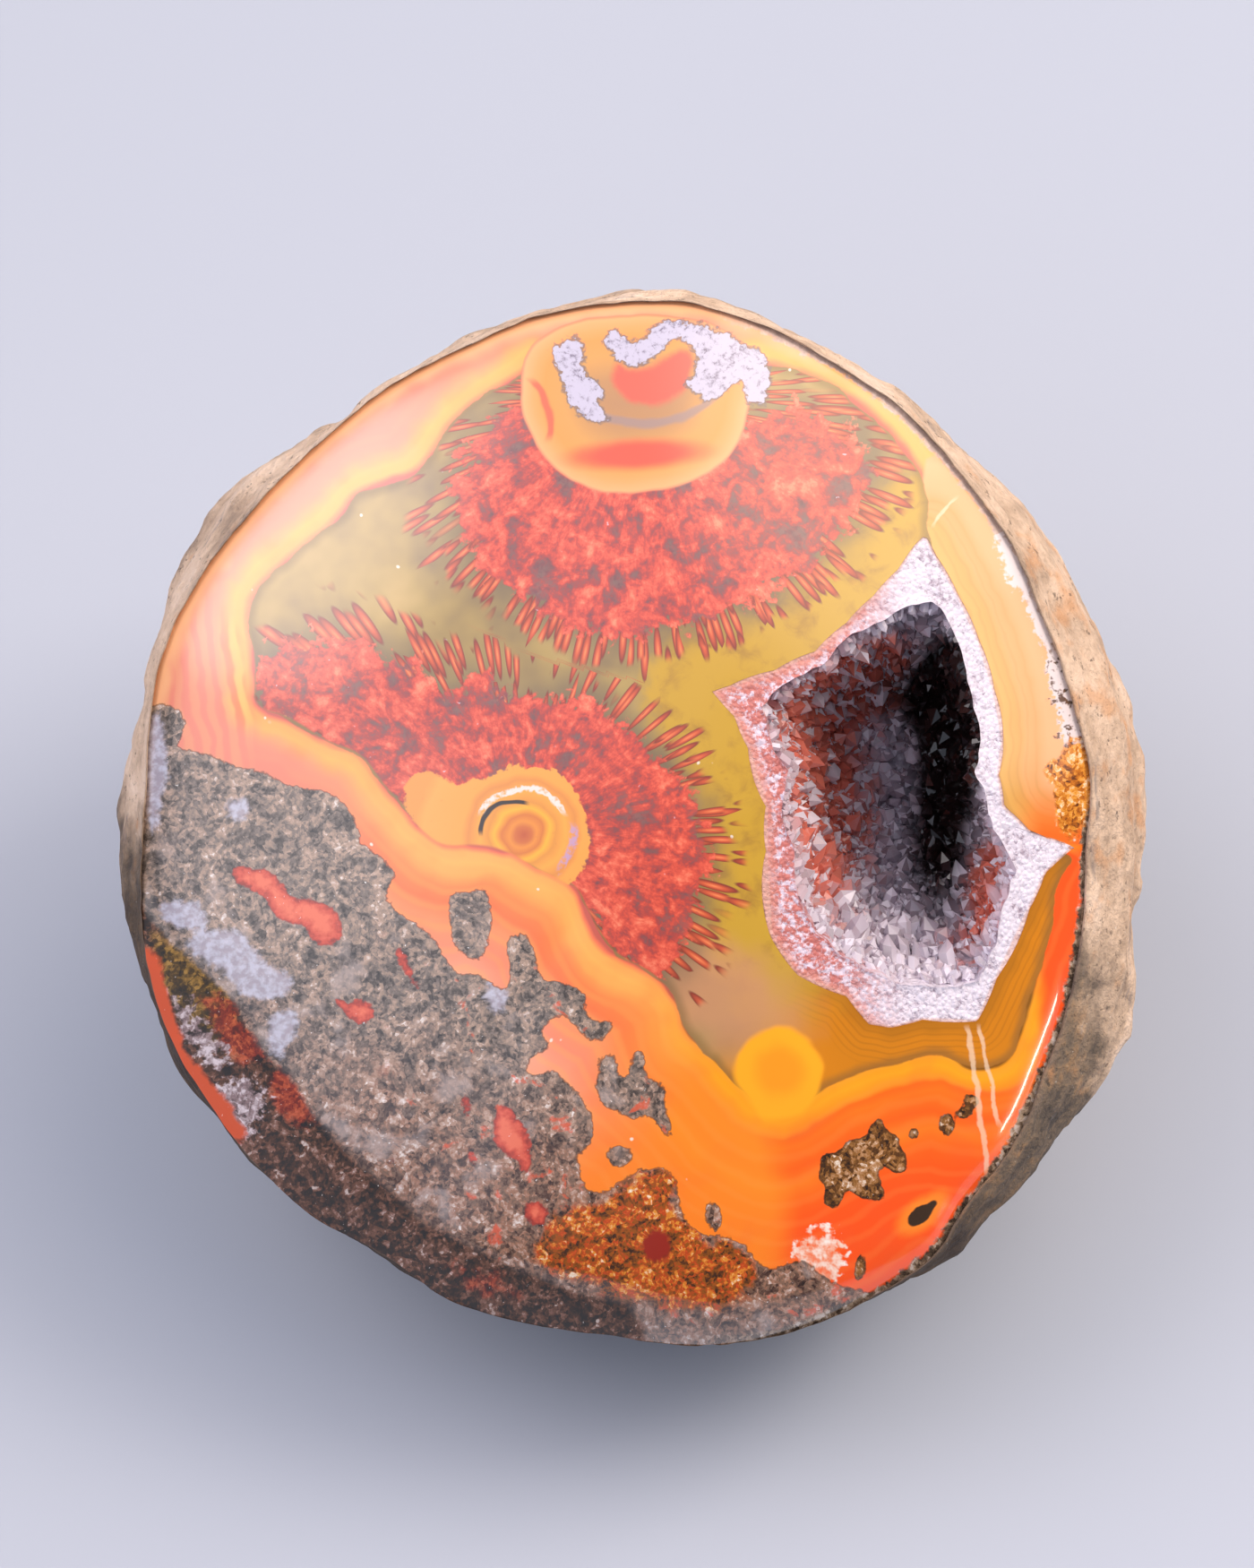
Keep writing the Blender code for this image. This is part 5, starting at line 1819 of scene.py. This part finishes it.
def light_property(name, description, default, unit="NONE"):
    """A strength of light that a user may change."""
    return FloatProperty(name=name, description=description, default=default, min=0.0, unit=unit)


class StoneLook(bpy.types.PropertyGroup):
    """Sizes and colours of the stone."""

    columns: count_property("Columns", "Mesh columns round the rim", 420, 60)
    hollow_rows: count_property("Hollow rows", "Mesh rows of the hollow", 6, 4)
    face_rows: count_property("Face rows", "Mesh rows of the polished face", 130, 20)
    side_rows: count_property("Side rows", "Mesh rows from rim to waist", 30, 6)
    back_rows: count_property("Back rows", "Mesh rows from waist to back", 56, 10)
    grain_height: size_property("Rind grain", "Height of the rind's grain", 0.00028)
    rim_raggedness: size_property("Rim wear", "Unevenness of the polished rim", 0.00010)
    polish: FloatProperty(name="Polish", description="Roughness of the polished agate",
                          default=0.16, min=0.0, max=1.0, subtype="FACTOR")
    ribbon_yellow: colour_property("Ribbon yellow", "Light bands of the ribbon", tint(255, 178, 84))
    ribbon_red: colour_property("Ribbon red", "Dark bands of the ribbon", tint(240, 92, 44))


class DruseLook(bpy.types.PropertyGroup):
    """Sizes and colours of the quartz in the hollow."""

    columns: count_property("Columns", "Mesh columns round the crust", 360, 40)
    wall_rows: count_property("Wall rows", "Mesh rows of the inner wall", 72, 8)
    band_rows: count_property("Band rows", "Mesh rows of the cut edge", 14, 2)
    back_rows: count_property("Back rows", "Mesh rows of the crust's back", 10, 3)
    mouth_jag: size_property("Jags", "Jags of the cut edge's inner side", 0.00022)
    wall_roughness: size_property("Wall roughness", "Unevenness of the inner wall", 0.00045)
    band_pitting: size_property("Pitting", "Depth of the cut edge's pits", 0.00012)
    crystals: count_property("Crystals", "Number of large crystals", 1300)
    grains: count_property("Small crystals", "Number of small crystals", 5800)
    crystal_width: size_property("Crystal width", "Width of the largest crystals", 0.0021, 0.0005, 4)
    seed: count_property("Seed", "Start of the random draws", 7)
    quartz_white: colour_property("Quartz white", "Lightest quartz", tint(226, 216, 228))
    quartz_lilac: colour_property("Quartz lilac", "Shaded quartz", tint(158, 138, 154))


class StageLook(bpy.types.PropertyGroup):
    """The camera, the floor and the light."""

    lens: FloatProperty(name="Lens", description="Focal length in millimetres", default=100.0, min=20.0)
    floor_size: size_property("Floor size", "Width of the floor", 4.0, 0.5, 2)
    floor_colour: colour_property("Floor colour", "Colour of the floor", tint(174, 179, 191))
    sky: light_property("Sky", "Light from all round", 0.20)
    glow: light_property("Glow", "Light of the soft bright part overhead", 1.1)
    side: light_property("Side", "Light of the warm bright part at the right", 2.6)
    window: light_property("Window", "Light of the narrow window low at the right", 0.5, "POWER")
    fill: light_property("Fill", "Light of the soft lamp that fills the hollow", 4.0, "POWER")
    front: light_property("Front", "Light of the soft part low at the left front", 1.1)
    sheen: light_property("Sheen", "Light of the bright part at the upper left", 3.2)


def wear(piece, look_slot, node, *materials):
    """Give a piece its materials, and place it in the frame."""
    for material in materials:
        piece.data.materials.append(material)
    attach(piece, "root")
    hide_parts(node)


class GEODE_OT_effects(bpy.types.Operator):
    """Build the shader effects that several materials share."""

    bl_idname = "geode.effects"
    bl_label = "Build Effects"

    def execute(self, context):
        for make in (grain_group, sugar_group, quartz_group, noise_group):
            make()
        return {"FINISHED"}


class GEODE_OT_stone(bpy.types.Operator):
    """Build the stone with its polished face and its rind."""

    bl_idname = "geode.stone"
    bl_label = "Build Stone"
    bl_options = {"REGISTER", "UNDO"}

    def execute(self, context):
        look = context.scene.geode_stone
        piece = build_stone(look)
        for layer in FACE_ZONES[-1][1]:
            layer_group(layer, look)
        zones = [face_material(name, layers, look) for name, layers in FACE_ZONES]
        wear(piece, "agate", "agate_nodule", *zones, rind_material(look))
        return {"FINISHED"}


class GEODE_OT_crust(bpy.types.Operator):
    """Build the crust of quartz that lines the hollow."""

    bl_idname = "geode.crust"
    bl_label = "Build Crust"
    bl_options = {"REGISTER", "UNDO"}

    def execute(self, context):
        look = context.scene.geode_druse
        wear(build_crust(look), "quartz", "quartz_druse", crust_material(look))
        return {"FINISHED"}


class GEODE_OT_crystals(bpy.types.Operator):
    """Grow the crystals on the crust."""

    bl_idname = "geode.crystals"
    bl_label = "Grow Crystals"
    bl_options = {"REGISTER", "UNDO"}

    def execute(self, context):
        look = context.scene.geode_druse
        wear(build_crystals(look), "quartz", "quartz_druse", crystal_material(look))
        return {"FINISHED"}


class GEODE_OT_stage(bpy.types.Operator):
    """Set the camera, the floor and the soft light."""

    bl_idname = "geode.stage"
    bl_label = "Set Stage"

    def execute(self, context):
        look = context.scene.geode_stage
        set_camera(context.scene, look)
        set_floor(look)
        set_light(context.scene, look)
        return {"FINISHED"}


# Bright parts of the studio: a direction, and how far from it in degrees they fade and end
BRIGHT_PARTS = {
    "glow": ((-0.35, 0.15, 0.92), 5.0, 55.0),
    "sheen": ((-0.62, 0.16, 0.77), 4.0, 26.0),
    "side": ((0.60, 0.25, 0.76), 4.0, 40.0),
    "front": ((-0.62, -0.62, 0.48), 5.0, 42.0),
}
# Lamps: a place and two widths in metres, and whether the polished face mirrors them
LAMPS = {
    "window": ((0.78, -0.43, 0.10), (0.26, 0.03), True),
    "fill": ((0.56, 0.16, 0.70), (0.34, 0.34), False),
}
LAMP_AIM = (0.0, 0.0, 0.04)
SENSOR_WIDTH = 36.0


def set_camera(scene, look):
    """The photograph's view: straight down the face's own axis."""
    data = bpy.data.cameras.new("view")
    data.lens = look.lens
    data.sensor_width = SENSOR_WIDTH
    data.clip_start = 0.01
    camera = bpy.data.objects.new("view", data)
    scene.collection.objects.link(camera)
    camera.location = FACE_POINT + VIEW_DISTANCE * OUT_OF_FACE
    camera.rotation_euler = (FACE_TILT, 0.0, 0.0)
    scene.camera = camera


def set_floor(look):
    """A flat floor just under the stone."""
    half = look.floor_size / 2.0
    corners = np.array(((-half, -half, 0.0), (half, -half, 0.0), (half, half, 0.0), (-half, half, 0.0)))
    floor = new_piece("floor", corners, [np.arange(4)[None]], smooth=False)
    floor.data.materials.append(floor_material(look))


def set_light(scene, look):
    """Soft light from all round, brightest overhead and at the upper left.

    The bright parts have soft edges, so their reflections in the polished face fade out.
    """
    world = bpy.data.worlds.new("studio")
    world.use_nodes = True
    scene.world = world
    scene.view_settings.view_transform = "Standard"
    paint = Painter(world.node_tree)
    direction = paint.add("ShaderNodeTexCoord", out="Generated")

    def bright(toward, inner, outer):
        axis = Vector(toward).normalized()
        cosine = paint.add("ShaderNodeVectorMath", {0: direction, 1: axis}, out=1,
                           operation="DOT_PRODUCT")
        return paint.step(cosine, math.cos(math.radians(outer)), math.cos(math.radians(inner)))

    parts = {name: bright(*part) for name, part in BRIGHT_PARTS.items()}
    strength = sum((part * getattr(look, name) for name, part in parts.items()), look.sky)
    colour = paint.over(tint(214, 224, 246), tint(255, 246, 248), paint.step(strength, 0.6, 3.0))
    colour = paint.over(colour, tint(255, 240, 226), parts["side"])
    background = world.node_tree.nodes["Background"]
    paint.feed(background.inputs["Color"], colour)
    paint.feed(background.inputs["Strength"], strength)

    for name, (place, size, mirrored) in LAMPS.items():
        lamp = bpy.data.lights.new(name, "AREA")
        lamp.shape = "RECTANGLE"
        lamp.size, lamp.size_y = size
        lamp.energy = getattr(look, name)
        lamp.color = tint(255, 244, 232)
        holder = bpy.data.objects.new(name, lamp)
        scene.collection.objects.link(holder)
        holder.location = place
        aim = Vector(LAMP_AIM) - holder.location
        holder.rotation_euler = aim.to_track_quat("-Z", "Y").to_euler()
        holder.visible_glossy = mirrored


class GEODE_PT_panel(bpy.types.Panel):
    """The geode's sizes, colours and operators."""

    bl_idname = "GEODE_PT_panel"
    bl_label = "Agate Geode"
    bl_space_type = "VIEW_3D"
    bl_region_type = "UI"
    bl_category = "Geode"

    def draw(self, context):
        for operator, look in BUILD_ORDER:
            self.layout.operator("geode." + operator)
            if look:
                for name in getattr(context.scene, look).__annotations__:
                    self.layout.prop(getattr(context.scene, look), name)


BUILD_ORDER = (
    ("effects", None), ("stone", "geode_stone"), ("crust", "geode_druse"), ("crystals", None),
    ("stage", "geode_stage"),
)
LOOKS = {"geode_stone": StoneLook, "geode_druse": DruseLook, "geode_stage": StageLook}
CLASSES = (
    *LOOKS.values(), GEODE_OT_effects, GEODE_OT_stone, GEODE_OT_crust, GEODE_OT_crystals,
    GEODE_OT_stage, GEODE_PT_panel,
)


def register():
    """Make the geode's classes and settings known."""
    for each in CLASSES:
        bpy.utils.register_class(each)
    for name, look in LOOKS.items():
        setattr(bpy.types.Scene, name, PointerProperty(type=look))


def unregister():
    """Take them away again."""
    for name in LOOKS:
        delattr(bpy.types.Scene, name)
    for each in reversed(CLASSES):
        bpy.utils.unregister_class(each)


def main():
    """Build every piece in order."""
    register()
    for operator, _ in BUILD_ORDER:
        getattr(bpy.ops.geode, operator)()


if __name__ == "__main__":
    main()
